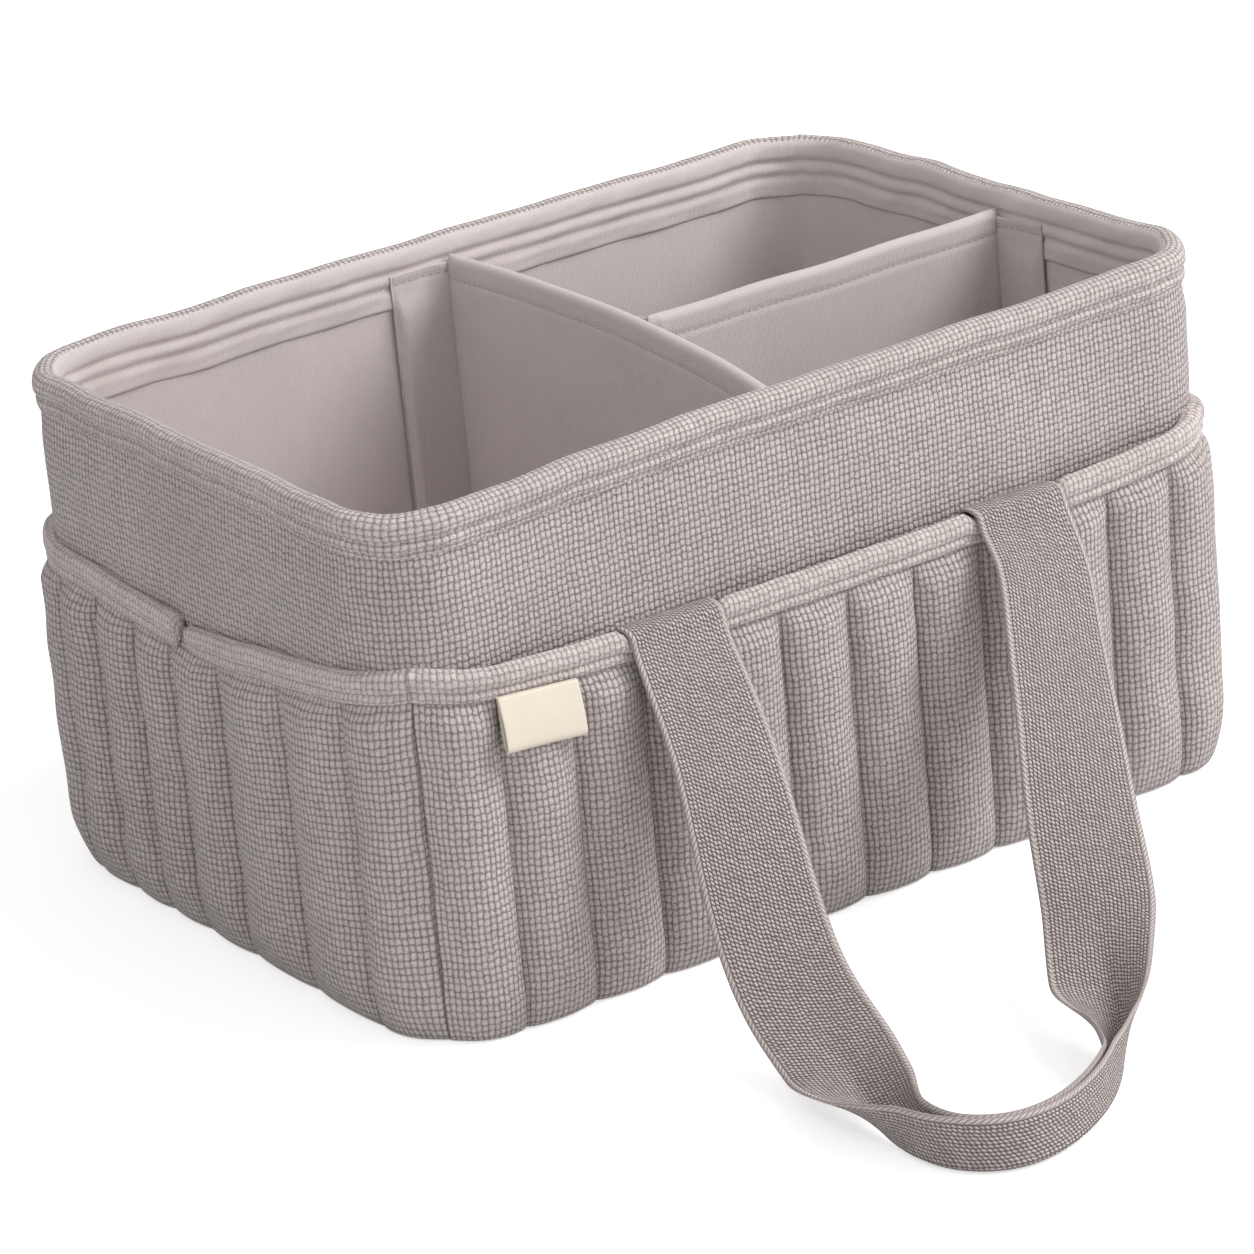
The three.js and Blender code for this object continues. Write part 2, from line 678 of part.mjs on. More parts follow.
function add(name, geometry, surfaceMaterial, parent = caddy) {
  const mesh = new THREE.Mesh(geometry, surfaceMaterial);
  mesh.name = name;
  parent.add(mesh);
  return mesh;
}

function addBase() {
  add('base_cloth', plate(BASE_SPREAD, 0, BASE_CLOTH), MATERIALS.waffle);
  add('base_board', plate(BOARD_REACH, WALL_BOTTOM, BOARD_TOP), MATERIALS.board);
  add('floor_lining', plate(BOARD_REACH, FLOOR_LINING_BOTTOM, FLOOR_TOP), MATERIALS.lining);
}

function addWalls() {
  add('outer_shell_cloth', ringBand(slab(-OUTER_CLOTH, 0, WALL_BOTTOM, CLOTH_TOP)), MATERIALS.waffle);
  for (const [name, side] of Object.entries(SIDES)) {
    const places = placesAlong(side, RING_CORNER_STEPS, GAP / 2);
    const section = slab(FOAM_IN, FOAM_OUT, WALL_BOTTOM, CLOTH_TOP);
    add(`${name}_wall_foam`, sideBand(side, places, () => section), MATERIALS.foam);
  }
  add('wall_lining', ringBand(slab(LINING_IN, LINING_OUT, WALL_BOTTOM, CLOTH_TOP)), MATERIALS.lining);
  add('rim_binding', ringBand(rimSection()), MATERIALS.waffle);
}

function addPockets() {
  for (const [name, side] of Object.entries(SIDES)) {
    add(`${name}_pocket_panel`, pocketPanel(side), MATERIALS.waffle);
  }
  for (const name of ['front', 'right', 'rear']) {
    add(`${name}_pocket_hem`, pocketHem(SIDES[name]), MATERIALS.waffle);
  }
  const join = -HEM_JOIN_FROM_MIDDLE;
  add('left_pocket_hem_rear', pocketHem(SIDES.left, -Infinity, join - GAP / 2), MATERIALS.waffle);
  add('left_pocket_hem_front', pocketHem(SIDES.left, join + GAP / 2, Infinity), MATERIALS.waffle);
}

function addTag() {
  const tag = add('label_tag', tagGeometry(), MATERIALS.tag);
  tag.position.set(TAG_CENTRE, -(HALF_WIDTH + TAG_BACK), TAG_TOP);
  tag.rotation.x = -THREE.MathUtils.degToRad(TAG_LEAN_DEGREES);
}

// Seen from outside each long side, a handle has its left and its right strap.
function addHandle(name) {
  const side = SIDES[name];
  const group = new THREE.Group();
  group.rotation.z = side.turn;
  add(`${name}_handle_loop`, handleLoop(side), MATERIALS.webbing, group);
  for (const [strap, end] of [['left', -1], ['right', 1]]) {
    add(`${name}_handle_${strap}_bend`, strapBend(side, end), MATERIALS.webbing, group);
    add(`${name}_handle_${strap}_anchor`, strapAnchor(side, end), MATERIALS.webbing, group);
  }
  caddy.add(group);
}

function addDividers() {
  const half = DIVIDER / 2;
  add('cross_divider_cover', dividerCover(crossLine, -CROSS_END, CROSS_END), MATERIALS.lining);
  add('cross_divider_board', dividerBoard(crossLine, -CROSS_END, CROSS_END), MATERIALS.board);
  const longFrom = crossLine(LONG_DIVIDER_LINE, half + BEND_GAP)[0];
  const longTo = INNER_HALF_LENGTH - DIVIDER_END_GAP;
  add('long_divider_cover', dividerCover(longLine, longFrom, longTo), MATERIALS.lining);
  add('long_divider_board', dividerBoard(longLine, longFrom, longTo), MATERIALS.board);

  const rootAt = (end) => {
    const places = [end * CROSS_END, end * (INNER_HALF_WIDTH - TAB_FAR)];
    return Math.min(...places.map((y) => crossLine(y, -half)[0])) - BEND_GAP;
  };
  const tabs = {
    cross_divider_rear: tabPieces((x, out) => [x, INNER_HALF_WIDTH - out], rootAt(1), -1),
    cross_divider_front: tabPieces((x, out) => [x, -INNER_HALF_WIDTH + out], rootAt(-1), -1),
    long_divider_right: tabPieces((y, out) => [INNER_HALF_LENGTH - out, y],
      LONG_DIVIDER_LINE - half - BEND_GAP, -1),
    long_divider_left: tabPieces((y, out) => crossLine(y, half + out),
      LONG_DIVIDER_LINE + half + BEND_GAP, 1),
  };
  for (const [name, pieces] of Object.entries(tabs)) {
    add(`${name}_tab`, pieces.tab, MATERIALS.lining);
    add(`${name}_hook_strip`, pieces.hook, MATERIALS.fastener);
    add(`${name}_loop_strip`, pieces.loop, MATERIALS.fastener);
  }
}

addBase();
addWalls();
addPockets();
addTag();
addHandle('front');
addHandle('rear');
addDividers();

export default caddy;
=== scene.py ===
import json
import math
from collections import namedtuple
from dataclasses import dataclass

import bpy
import numpy as np
from mathutils import Matrix, Vector


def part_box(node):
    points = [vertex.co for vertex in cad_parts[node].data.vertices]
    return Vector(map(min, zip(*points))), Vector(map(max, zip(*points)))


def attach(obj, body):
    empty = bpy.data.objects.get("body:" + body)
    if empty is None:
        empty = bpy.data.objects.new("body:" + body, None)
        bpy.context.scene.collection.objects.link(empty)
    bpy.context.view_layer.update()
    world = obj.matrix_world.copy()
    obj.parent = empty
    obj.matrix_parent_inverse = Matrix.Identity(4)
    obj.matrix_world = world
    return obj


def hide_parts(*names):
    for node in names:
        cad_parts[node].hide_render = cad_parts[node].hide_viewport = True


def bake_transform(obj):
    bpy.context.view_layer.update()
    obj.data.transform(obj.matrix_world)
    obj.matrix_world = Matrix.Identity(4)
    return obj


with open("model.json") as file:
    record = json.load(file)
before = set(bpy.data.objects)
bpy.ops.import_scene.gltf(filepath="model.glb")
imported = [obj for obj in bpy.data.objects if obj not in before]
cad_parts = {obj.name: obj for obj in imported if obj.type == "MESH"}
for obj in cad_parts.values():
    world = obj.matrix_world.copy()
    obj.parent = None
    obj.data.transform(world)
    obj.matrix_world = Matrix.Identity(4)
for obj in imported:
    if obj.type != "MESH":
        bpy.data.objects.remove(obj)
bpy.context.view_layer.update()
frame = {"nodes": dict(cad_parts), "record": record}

# Diaper caddy: an open padded cloth box with quilted pockets, two webbing handles and two dividers.

# Sizes are millimetres, and new_piece turns them into Blender's metres.
MM = 0.001
TURN = 2 * math.pi


def corners(node):
    low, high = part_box(node)
    return np.array(low) / MM, np.array(high) / MM


# The box, as the frame gives it, and the layers of its walls
HALF_LENGTH, HALF_WIDTH, _ = corners("outer_shell_cloth")[1]
RIM_TOP = corners("rim_binding")[1][2]
FLOOR_BOTTOM, FLOOR_TOP = [corner[2] for corner in corners("floor_lining")]
CORNER_RADIUS = 33
WALL = 7
LINING = 1
INNER_LENGTH = HALF_LENGTH - WALL
INNER_WIDTH = HALF_WIDTH - WALL

# Pockets: the room behind a long panel, a short one and at the corners, and the panel's thickness
LONG_ROOM, SHORT_ROOM, CORNER_ROOM = 7.4, 6.6, 2.4
PANEL = 2
HEM_HEIGHT = 12
SEAM_RADIUS = CORNER_RADIUS + LONG_ROOM + PANEL

# Camera that the photograph was taken with, to the same scale, in degrees and millimetres
CAMERA_PLACE = (-1076.2, -1621.3, 835.3)
CAMERA_AZIMUTH, CAMERA_ELEVATION, CAMERA_ROLL = -33.45, 21.45, -5.40
CAMERA_LENS, CAMERA_SENSOR = 159.0, 36

# How the soft box has settled, its ends out and its front left corner down: [x, y, reach, move]
SETTLING = [
    (-176, -116, 90, -5, 0, -4.5),
    (-182, 0, 75, -3.5, 0, -2),
    (-176, 116, 90, -5.5, 0, -1.5),
    (-180, -120, 50, 0, -3, 0),
    (176, -116, 90, 6.5, 0, 2),
    (186, 36, 80, 7.5, 0, 0),
    (176, 116, 60, 2, 0, 0),
]
SETTLE_FROM, SETTLE_TO = 15, 135


# Lines, fields and other sums that the pieces share
def smooth_step(value):
    value = np.clip(value, 0, 1)
    return value * value * (3 - 2 * value)


def ramp(value, start, length):
    """0 up to start, then rising to 1 over that length. With a negative length it falls down to start."""
    return smooth_step((value - start) / length)


def bell(value):
    return np.exp(-(value**2))


def rounded(inset, radius, least):
    """Share of the full thickness at that inset from a round edge."""
    return np.sqrt(np.clip(1 - (1 - np.clip(inset / radius, 0, 1)) ** 2, least, 1))


def unit(vectors):
    return vectors / np.linalg.norm(vectors, axis=-1, keepdims=True)


def square_to(vectors, ways):
    """Unit vectors without their part along those ways."""
    return unit(vectors - (vectors * ways).sum(-1, keepdims=True) * ways)


def closed(line):
    return np.concatenate([line, line[:1]])


def lengths_along(line):
    return np.concatenate([[0], np.cumsum(np.linalg.norm(np.diff(line, axis=0), axis=1))])


def at_lengths(where, lengths, values):
    return np.stack([np.interp(where, lengths, column) for column in values.T], 1)


def smoothed(values, half=4):
    kernel = np.hanning(2 * half + 1)
    return np.convolve(np.pad(values, half, mode="edge"), kernel / kernel.sum(), mode="valid")


def settled(points):
    """Moves points as the soft box has settled: not at all at its base, and fully above the pockets."""
    moved = np.array(points, float)
    rise = ramp(points[..., 2], SETTLE_FROM, SETTLE_TO - SETTLE_FROM)
    for x, y, reach, *move in SETTLING:
        away = ((points[..., 0] - x) ** 2 + (points[..., 1] - y) ** 2) / reach**2
        moved += (np.exp(-away) * rise)[..., None] * np.array(move)
    return moved


def waves(seed, length, count=7):
    """A smooth field over two coordinates, about -1 to 1, whose waves are about that long."""
    random = np.random.default_rng(seed)
    turns = random.uniform(0, TURN, count)
    phases = random.uniform(0, TURN, count)
    lengths = length * random.uniform(0.6, 1.6, count)

    def field(a, b):
        total = sum(np.sin(TURN * (a * math.cos(turn) + b * math.sin(turn)) / wave + phase)
                    for turn, phase, wave in zip(turns, phases, lengths))
        return total / math.sqrt(count) / 1.4

    return field


def spline(points, count):
    """A smooth line through points, as count points. Points may hold many lines side by side."""
    points = np.array(points, float)
    flat = points.reshape(len(points), -1)
    knots = lengths_along(flat)
    steps = np.diff(knots)
    last = len(steps)
    system = np.zeros((last + 1, last + 1))
    right = np.zeros((last + 1, flat.shape[1]))
    system[0, 0] = system[last, last] = 1
    for i in range(1, last):
        before, after = steps[i - 1], steps[i]
        system[i, i - 1:i + 2] = before, 2 * (before + after), after
        right[i] = 6 * ((flat[i + 1] - flat[i]) / after - (flat[i] - flat[i - 1]) / before)
    bend = np.linalg.solve(system, right)
    where = np.linspace(0, knots[-1], count)
    row = np.clip(np.searchsorted(knots, where, side="right") - 1, 0, last - 1)
    step = steps[row][:, None]
    b = (where - knots[row])[:, None] / step
    a = 1 - b
    line = (a * flat[row] + b * flat[row + 1]
            + ((a**3 - a) * bend[row] + (b**3 - b) * bend[row + 1]) * step**2 / 6)
    return line.reshape(count, *points.shape[1:])


# The four sides, seen from outside. Places along a side are lengths at the pockets' seam line.
@dataclass
class Side:
    name: str
    turn: float
    half_run: float
    face: float
    creases: tuple
    room: float
    start: float
    middle: float
    end: float
    sag_power: float

    @property
    def straight(self):
        return self.half_run - CORNER_RADIUS

    @property
    def run_half(self):
        return self.straight + math.pi / 4 * SEAM_RADIUS

    def angle(self, along):
        return np.maximum(0, np.abs(along) - self.straight) / SEAM_RADIUS

    def turned(self, run, out, height):
        x = run * math.cos(self.turn) + out * math.sin(self.turn)
        y = run * math.sin(self.turn) - out * math.cos(self.turn)
        return np.stack(np.broadcast_arrays(x, y, height), -1)

    def wall(self, along, reach, height):
        """Points that far out of the shell's face, at these places and heights."""
        angle = self.angle(along)
        radius = CORNER_RADIUS + reach
        run = np.sign(along) * (np.minimum(np.abs(along), self.straight) + radius * np.sin(angle))
        return self.turned(run, self.face - CORNER_RADIUS + radius * np.cos(angle), height)

    def open_share(self, along):
        return np.cos(2 * self.angle(along))

    def mouth(self, along):
        """Height of the pocket's mouth: it sags between the corners."""
        share = np.minimum(1, np.abs(along) / self.run_half)
        corner = np.where(along < 0, self.start, self.end)
        return self.middle + (corner - self.middle) * share**self.sag_power

    def room_at(self, along):
        return CORNER_ROOM + (self.room - CORNER_ROOM) * self.open_share(along)

    def neck(self, along):
        return SHORT_ROOM + (self.room - SHORT_ROOM) * self.open_share(along) + PANEL


FRONT_CORNER, REAR_CORNER = 141, 136
LONG_CREASES = tuple(np.linspace(-1, 1, 13))
SHORT_CREASES = tuple(np.linspace(-1, 1, 9))
LEFT_CREASES = (-1, -0.79, -0.576, -0.37, -0.166, 0.087, 0.418, 0.749, 1)
LONG = {"half_run": HALF_LENGTH, "face": HALF_WIDTH, "creases": LONG_CREASES, "room": LONG_ROOM,
        "sag_power": 3, "middle": 134}
SHORT = {"half_run": HALF_WIDTH, "face": HALF_LENGTH, "room": SHORT_ROOM, "sag_power": 1.2, "middle": 127}
QUARTER = TURN / 4
SIDES = {
    "front": Side("front", 0, **LONG, start=FRONT_CORNER, end=FRONT_CORNER),
    "right": Side("right", QUARTER, **SHORT, creases=SHORT_CREASES, start=FRONT_CORNER, end=REAR_CORNER),
    "rear": Side("rear", 2 * QUARTER, **LONG, start=REAR_CORNER, end=REAR_CORNER),
    "left": Side("left", 3 * QUARTER, **SHORT, creases=LEFT_CREASES, start=REAR_CORNER, end=FRONT_CORNER),
}
RING = [SIDES[name] for name in ("rear", "left", "front", "right")]

# Webbing and stitches. A stitch is [pitch, length, radius, how deep it is sunk].
WEBBING_WIDTH = 40
WEBBING = 2
SEEN_WEBBING = 1.7
SELVAGE_POWER, SELVAGE_LEAST = 16, 0.12
SELVAGE = 2.0
SEAM_STITCH = (3.6, 2.5, 0.34, 0.1)
FINE_STITCH = (3.1, 2.2, 0.26, 0.08)
STITCH_PITCH = SEAM_STITCH[0]

# Cloth cells in millimetres, and colours, the darkest first
SHELL_CELL, GRID_CELL, RIM_CELL = (2.2, 2.65), (2.4, 2.6), (2.2, 2.2)
# The knit's darkest colour is reached in the gaps between beads, where it is painted shade.
KNIT_COLORS = (0.095, 0.074, 0.069), (0.70, 0.622, 0.603)
KNIT_FLECKS = (0.30, 0.28, 0.22), (0.74, 0.62, 0.60)
# The webbing's darkest colour is reached in the grooves between stitches, where it is painted shade.
WEBBING_COLORS = (0.075, 0.058, 0.053), (0.68, 0.59, 0.57)
WEBBING_FLECKS = (0.16, 0.13, 0.12), (0.70, 0.62, 0.59)
# Lining: its own pale grey, raised further as painted light standing in for light bounced into the box by its
# contents.
LINING_COLORS = (0.545, 0.48, 0.463), (0.775, 0.705, 0.69)
DIVIDER_COLORS = (0.46, 0.405, 0.392), (0.68, 0.618, 0.605)
LEATHER_COLORS = (0.685, 0.612, 0.508), (0.75, 0.685, 0.58)
LEATHER_GRAIN = (0.66, 0.57, 0.45)
THREAD_COLORS = (0.22, 0.18, 0.17), (0.40, 0.335, 0.32)
FOAM_COLORS = (0.70, 0.66, 0.60), (0.86, 0.83, 0.78)
BOARD_COLORS = (0.52, 0.46, 0.39), (0.70, 0.65, 0.57)
PILE_COLORS = (0.15, 0.12, 0.11), (0.34, 0.28, 0.265)


# Materials
class Nodes:
    """The nodes of a material or a world, added by short calls. Values may be numbers or sockets."""

    def __init__(self, owner):
        owner.use_nodes = True
        self.owner = owner
        self.tree = owner.node_tree

    def put(self, socket, value):
        if isinstance(value, bpy.types.NodeSocket):
            self.tree.links.new(value, socket)
        else:
            socket.default_value = value

    def put_all(self, node, values):
        for name, value in values.items():
            self.put(node.inputs[name], value)

    def add(self, kind, *values, **named):
        """A node of that kind, with values for its first inputs or for inputs by their names."""
        node = self.tree.nodes.new(f"ShaderNode{kind}")
        for socket, value in zip(node.inputs, values):
            self.put(socket, value)
        self.put_all(node, named)
        return node

    def math(self, operation, *values):
        node = self.add("Math", *values)
        node.operation = operation
        return node.outputs[0]

    def scaled(self, value, factor, plus):
        return self.math("MULTIPLY_ADD", value, factor, plus)

    def cloth(self):
        """The cloth's own coordinates, in millimetres."""
        place = self.add("UVMap")
        place.uv_map = "cloth"
        u, v, _ = self.add("SeparateXYZ", place.outputs[0]).outputs
        return place.outputs[0], u, v

    def noise(self, place, length, detail=2, roughness=0.5):
        node = self.add("TexNoise", Vector=place, Scale=1 / length, Detail=detail, Roughness=roughness)
        return node.outputs["Fac"]

    def wobble(self, place, value, length, amount):
        """value, shifted by a smooth noise of that wave length by up to about that amount."""
        return self.scaled(self.math("SUBTRACT", self.noise(place, length), 0.5), amount, value)

    def mix(self, share, first, second, blend="MIX"):
        node = self.add("Mix")
        node.data_type = "RGBA"
        node.blend_type = blend
        self.put(node.inputs["Factor"], share)
        for name, value in (("A", first), ("B", second)):
            self.put(node.inputs[name], (*value, 1) if isinstance(value, tuple) else value)
        return node.outputs["Result"]

    def edge(self, value, power):
        """0 in the middle of each cell of value, rising to 1 at its edges."""
        around_zero = self.scaled(self.math("FRACT", value), 2, -1)
        return self.math("POWER", self.math("ABSOLUTE", around_zero), power)

    def dome(self, value, power):
        """1 in the middle of each cell of value, falling to 0 at its edges."""
        return self.math("SUBTRACT", 1, self.edge(value, power))

    def bead(self, across, row, power_across, power_row):
        """1 in the middle of each cell, falling to 0 at its edges and earlier in its corners."""
        far = self.math("ADD", self.edge(across, power_across), self.edge(row, power_row))
        return self.math("MAXIMUM", self.math("SUBTRACT", 1, far), 0.0001)

    def parity(self, value):
        return self.math("MODULO", self.math("ABSOLUTE", self.math("FLOOR", value)), 2)

    def each_cell(self, across, row):
        """A random value for each cell."""
        cell = self.add("CombineXYZ", self.math("FLOOR", across), self.math("FLOOR", row))
        noise = self.add("TexWhiteNoise", cell.outputs[0])
        noise.noise_dimensions = "2D"
        return noise.outputs["Value"]

    def shade(self, values):
        self.put_all(self.tree.nodes["Principled BSDF"], values)
        return self.owner

    def finished(self, color, height, depth):
        """The material, with that colour and with bumps that deep, in millimetres."""
        bump = self.add("Bump", Distance=depth * MM, Height=height)
        return self.shade({"Base Color": color, "Normal": bump.outputs[0]})


def new_material(name, roughness, sheen=0, specular=0.25):
    nodes = Nodes(bpy.data.materials.new(name))
    nodes.shade({"Roughness": roughness, "Sheen Weight": sheen, "Sheen Roughness": 0.6,
                 "Specular IOR Level": specular})
    return nodes


def waffle(name, stagger, row_gap_shade, corner_gap_shade=0.75, cell=SHELL_CELL, contrast=1, depth=1.3):
    """Waffle-knit cloth: beads in columns, each second one shifted by stagger, with painted shade in the gaps
    between.
    """
    nodes = new_material(name, roughness=0.92, sheen=0.2)
    place, u, v = nodes.cloth()
    across, row = [nodes.wobble(place, nodes.wobble(place, nodes.math("DIVIDE", way, size), length, 0.8),
                                length=1.6, amount=0.5)
                   for way, size, length in ((u, cell[0], 14), (v, cell[1], 11))]
    row = nodes.scaled(nodes.parity(across), stagger, row)
    # Painted shade: the gaps between beads are darkened in the colour, most at the beads' corners, and
    # contrast sets how dark.
    column_gap_shade = nodes.scaled(nodes.edge(row, 1.8), corner_gap_shade, 0.48)
    gap_shade = nodes.math("MULTIPLY", nodes.edge(across, 3.2), column_gap_shade)
    gap_shade = nodes.scaled(nodes.edge(row, 3.6), row_gap_shade, gap_shade)
    bead = nodes.bead(across, row, 2.4, 2.6)
    fleece = nodes.scaled(nodes.noise(place, 0.72, detail=3, roughness=0.8), 2.2, -0.6)
    height = nodes.scaled(fleece, 0.3, nodes.math("POWER", bead, 0.6))
    tone = nodes.scaled(nodes.each_cell(across, row), 0.2, 0.62 + 0.3 * contrast)
    tone = nodes.scaled(gap_shade, -contrast, tone)
    tone = nodes.scaled(nodes.math("SUBTRACT", fleece, 0.5), 0.6, tone)
    fleck = nodes.scaled(nodes.noise(place, 1.9, detail=2, roughness=0.8), 2.6, -0.8)
    color = nodes.mix(0.13, nodes.mix(tone, *KNIT_COLORS), nodes.mix(fleck, *KNIT_FLECKS))
    cloud = nodes.scaled(nodes.noise(place, 60), 0.24, 0.88)
    return nodes.finished(nodes.mix(1, color, cloud, "MULTIPLY"), height, depth)


def webbing_cloth(name):
    """Webbing: long slanted stitches in narrow columns, with a pale chain along each selvage."""
    nodes = new_material(name, roughness=0.8, sheen=0.15)
    place, u, v = nodes.cloth()
    across = nodes.math("DIVIDE", nodes.wobble(place, u, length=5, amount=0.7), 1.4)
    along = nodes.math("DIVIDE", nodes.wobble(place, v, length=2.6, amount=1.5), 1.7)
    along = nodes.scaled(u, 0.38, along)
    along = nodes.scaled(nodes.each_cell(across, 0.0), 0.5, along)
    body = nodes.bead(across, along, 3.0, 2.0)
    from_middle = nodes.math("ABSOLUTE", nodes.math("SUBTRACT", u, WEBBING_WIDTH / 2))
    from_edge = nodes.math("SUBTRACT", WEBBING_WIDTH / 2, from_middle)
    link = nodes.scaled(from_edge, 0.5, nodes.math("DIVIDE", v, 2.3))
    chain = nodes.bead(nodes.math("DIVIDE", from_edge, SELVAGE), link, 2, 2.4)
    at_edge = nodes.math("LESS_THAN", from_edge, SELVAGE)
    inner = nodes.math("MULTIPLY", body, nodes.math("SUBTRACT", 1, at_edge))
    cells = nodes.scaled(chain, at_edge, inner)
    yarn = nodes.noise(place, 0.3, detail=3, roughness=0.75)
    height = nodes.scaled(yarn, 0.3, nodes.math("POWER", cells, 0.75))
    # Painted shade: the tone follows the stitches' height, dark in the grooves between them.
    tone = nodes.scaled(cells, 1.05, 0.03)
    tone = nodes.math("MULTIPLY", tone, nodes.scaled(nodes.each_cell(across, along), 0.4, 0.8))
    tone = nodes.math("MULTIPLY", tone, nodes.scaled(yarn, 0.7, 0.65))
    tone = nodes.scaled(at_edge, 0.5, tone)
    fleck = nodes.noise(place, 2.3, detail=2, roughness=0.8)
    color = nodes.mix(0.12, nodes.mix(tone, *WEBBING_COLORS), nodes.mix(fleck, *WEBBING_FLECKS))
    return nodes.finished(color, height, 0.9)


def plain_weave(name, colors, thread=0.62):
    """Fine plain weave, with slubs along its threads."""
    nodes = new_material(name, roughness=0.85, sheen=0.2)
    place, u, v = nodes.cloth()
    warp = nodes.math("DIVIDE", u, thread)
    weft = nodes.math("DIVIDE", v, thread)
    over = nodes.scaled(nodes.parity(warp), 0.5, weft)
    cells = nodes.math("MULTIPLY", nodes.dome(warp, 2), nodes.dome(over, 2))
    stretched = nodes.add("Mapping", Vector=place, Scale=(1, 0.12, 1)).outputs[0]
    slub = nodes.noise(stretched, 1.1, detail=3, roughness=0.7)
    tone = nodes.scaled(cells, 0.35, nodes.scaled(slub, 0.45, -0.05))
    tone = nodes.scaled(nodes.noise(place, 38), 0.35, tone)
    return nodes.finished(nodes.mix(tone, *colors), nodes.scaled(slub, 0.8, cells), 0.14)


def smooth_leather(name):
    nodes = new_material(name, roughness=0.55)
    place, _, _ = nodes.cloth()
    grain = nodes.noise(place, 0.5, detail=4, roughness=0.6)
    color = nodes.mix(nodes.noise(place, 12), *LEATHER_COLORS)
    return nodes.finished(nodes.mix(nodes.scaled(grain, 0.25, 0), color, LEATHER_GRAIN), grain, 0.06)


def twisted_thread(name):
    nodes = new_material(name, roughness=0.7)
    _, u, v = nodes.cloth()
    twist = nodes.dome(nodes.math("ADD", nodes.math("DIVIDE", u, 0.9), v), 2)
    return nodes.finished(nodes.mix(twist, *THREAD_COLORS), twist, 0.08)


def speckled(name, roughness, grain, colors, depth):
    """A material of one noise through the solid: grain is its length in metres, detail and roughness."""
    nodes = new_material(name, roughness=roughness)
    specks = nodes.noise(nodes.add("TexCoord").outputs["Object"], *grain)
    return nodes.finished(nodes.mix(specks, *colors), specks, depth)


def soft_foam(name):
    return speckled(name, 0.95, (0.0011, 3), FOAM_COLORS, 0.3)


def pressed_board(name):
    return speckled(name, 0.9, (0.0016, 4, 0.7), BOARD_COLORS, 0.08)


def hook_pile(name):
    return speckled(name, 0.9, (0.0007, 2, 0.8), PILE_COLORS, 0.4)


SHELL_CLOTH = waffle("waffle_shell", 0.12, 0.42, corner_gap_shade=0.6)
GRID_CLOTH = waffle("waffle_grid", 0.05, 0.5, corner_gap_shade=0.4, cell=GRID_CELL)
HEM_CLOTH = waffle("waffle_hem", 0.12, 0.34, contrast=0.6, depth=0.6)
RIM_CLOTH = waffle("waffle_rim", 0, 0.32, cell=RIM_CELL, contrast=0.75, depth=0.8)
WEBBING_CLOTH = webbing_cloth("webbing_herringbone")
LINING_CLOTH = plain_weave("lining_weave", LINING_COLORS)
DIVIDER_CLOTH = plain_weave("divider_weave", DIVIDER_COLORS, thread=0.8)
TAG_LEATHER = smooth_leather("tag_leather")
THREAD = twisted_thread("sewing_thread")
FOAM = soft_foam("wall_foam")
BOARD = pressed_board("stiffening_board")
PILE = hook_pile("hook_and_loop_pile")


# Meshes
def make_outward(mesh):
    """Turns a closed mesh's faces outwards where they point in."""
    mesh.calc_loop_triangles()
    vertices = np.array([v.co for v in mesh.vertices])
    triangles = np.array([t.vertices for t in mesh.loop_triangles])
    a, b, c = vertices[triangles[:, 0]], vertices[triangles[:, 1]], vertices[triangles[:, 2]]
    if (a * np.cross(b, c)).sum() < 0:
        mesh.flip_normals()


def link(piece):
    bpy.context.scene.collection.objects.link(piece)
    return piece


def new_piece(name, vertices, faces, material, body, uv):
    """One visible piece of millimetre points, with its material and body."""
    mesh = bpy.data.meshes.new(name)
    mesh.from_pydata((np.asarray(vertices, float) * MM).tolist(), [], faces)
    layer = mesh.uv_layers.new(name="cloth")
    layer.data.foreach_set("uv", np.asarray(uv, np.float32).ravel())
    mesh.polygons.foreach_set("use_smooth", [True] * len(mesh.polygons))
    mesh.materials.append(material)
    mesh.update()
    make_outward(mesh)
    piece = link(bpy.data.objects.new(name, mesh))
    if body:
        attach(piece, body)
    return piece


def grid_faces(columns, rows, loop_columns, loop_rows):
    """Quads over a grid of points, and the column and row of each of their corners."""
    i, j = np.meshgrid(np.arange(columns - (not loop_columns)), np.arange(rows - (not loop_rows)),
                       indexing="ij")
    i, j = i.ravel(), j.ravel()
    quads = [(i, j), (i + 1, j), (i + 1, j + 1), (i, j + 1)]
    faces = np.stack([(a % columns) * rows + b % rows for a, b in quads], 1)
    places = np.stack([np.stack([a, b], 1) for a, b in quads], 1)
    return faces, places


def grid_piece(name, points, material, body="caddy", loop_columns=False, flip=False,
               cloth=None):
    """A surface over a grid of points whose columns are rings. cloth(column, row) gives its cloth
    coordinates. Without it they are lengths along the grid, from one row and the middle column."""
    columns, rows, _ = points.shape
    faces, places = grid_faces(columns, rows, loop_columns, True)
    across = lengths_along(closed(points[:, rows // 3]))
    up = lengths_along(closed(points[columns // 2]))
    cloth = cloth or (lambda column, row: np.stack([across[column], up[row]], -1))
    uv = cloth(places[..., 0], places[..., 1])
    if flip:
        faces, uv = faces[:, ::-1], uv[:, ::-1]
    faces, uv = faces.tolist(), uv.reshape(-1, 2).tolist()
    if not loop_columns:
        ring = np.arange(rows)
        for column, order in ((0, ring[::-1]), (columns - 1, ring)):
            faces.append((column * rows + order).tolist())
            uv += cloth(np.full(rows, column), order).tolist()
    return new_piece(name, points.reshape(-1, 3), faces, material, body, uv)


def ring_places(step):
    """Sides and even places for a band right round the box."""
    for side in RING:
        count = round(2 * side.run_half / step)
        yield side, np.linspace(-side.run_half, side.run_half, count, endpoint=False)


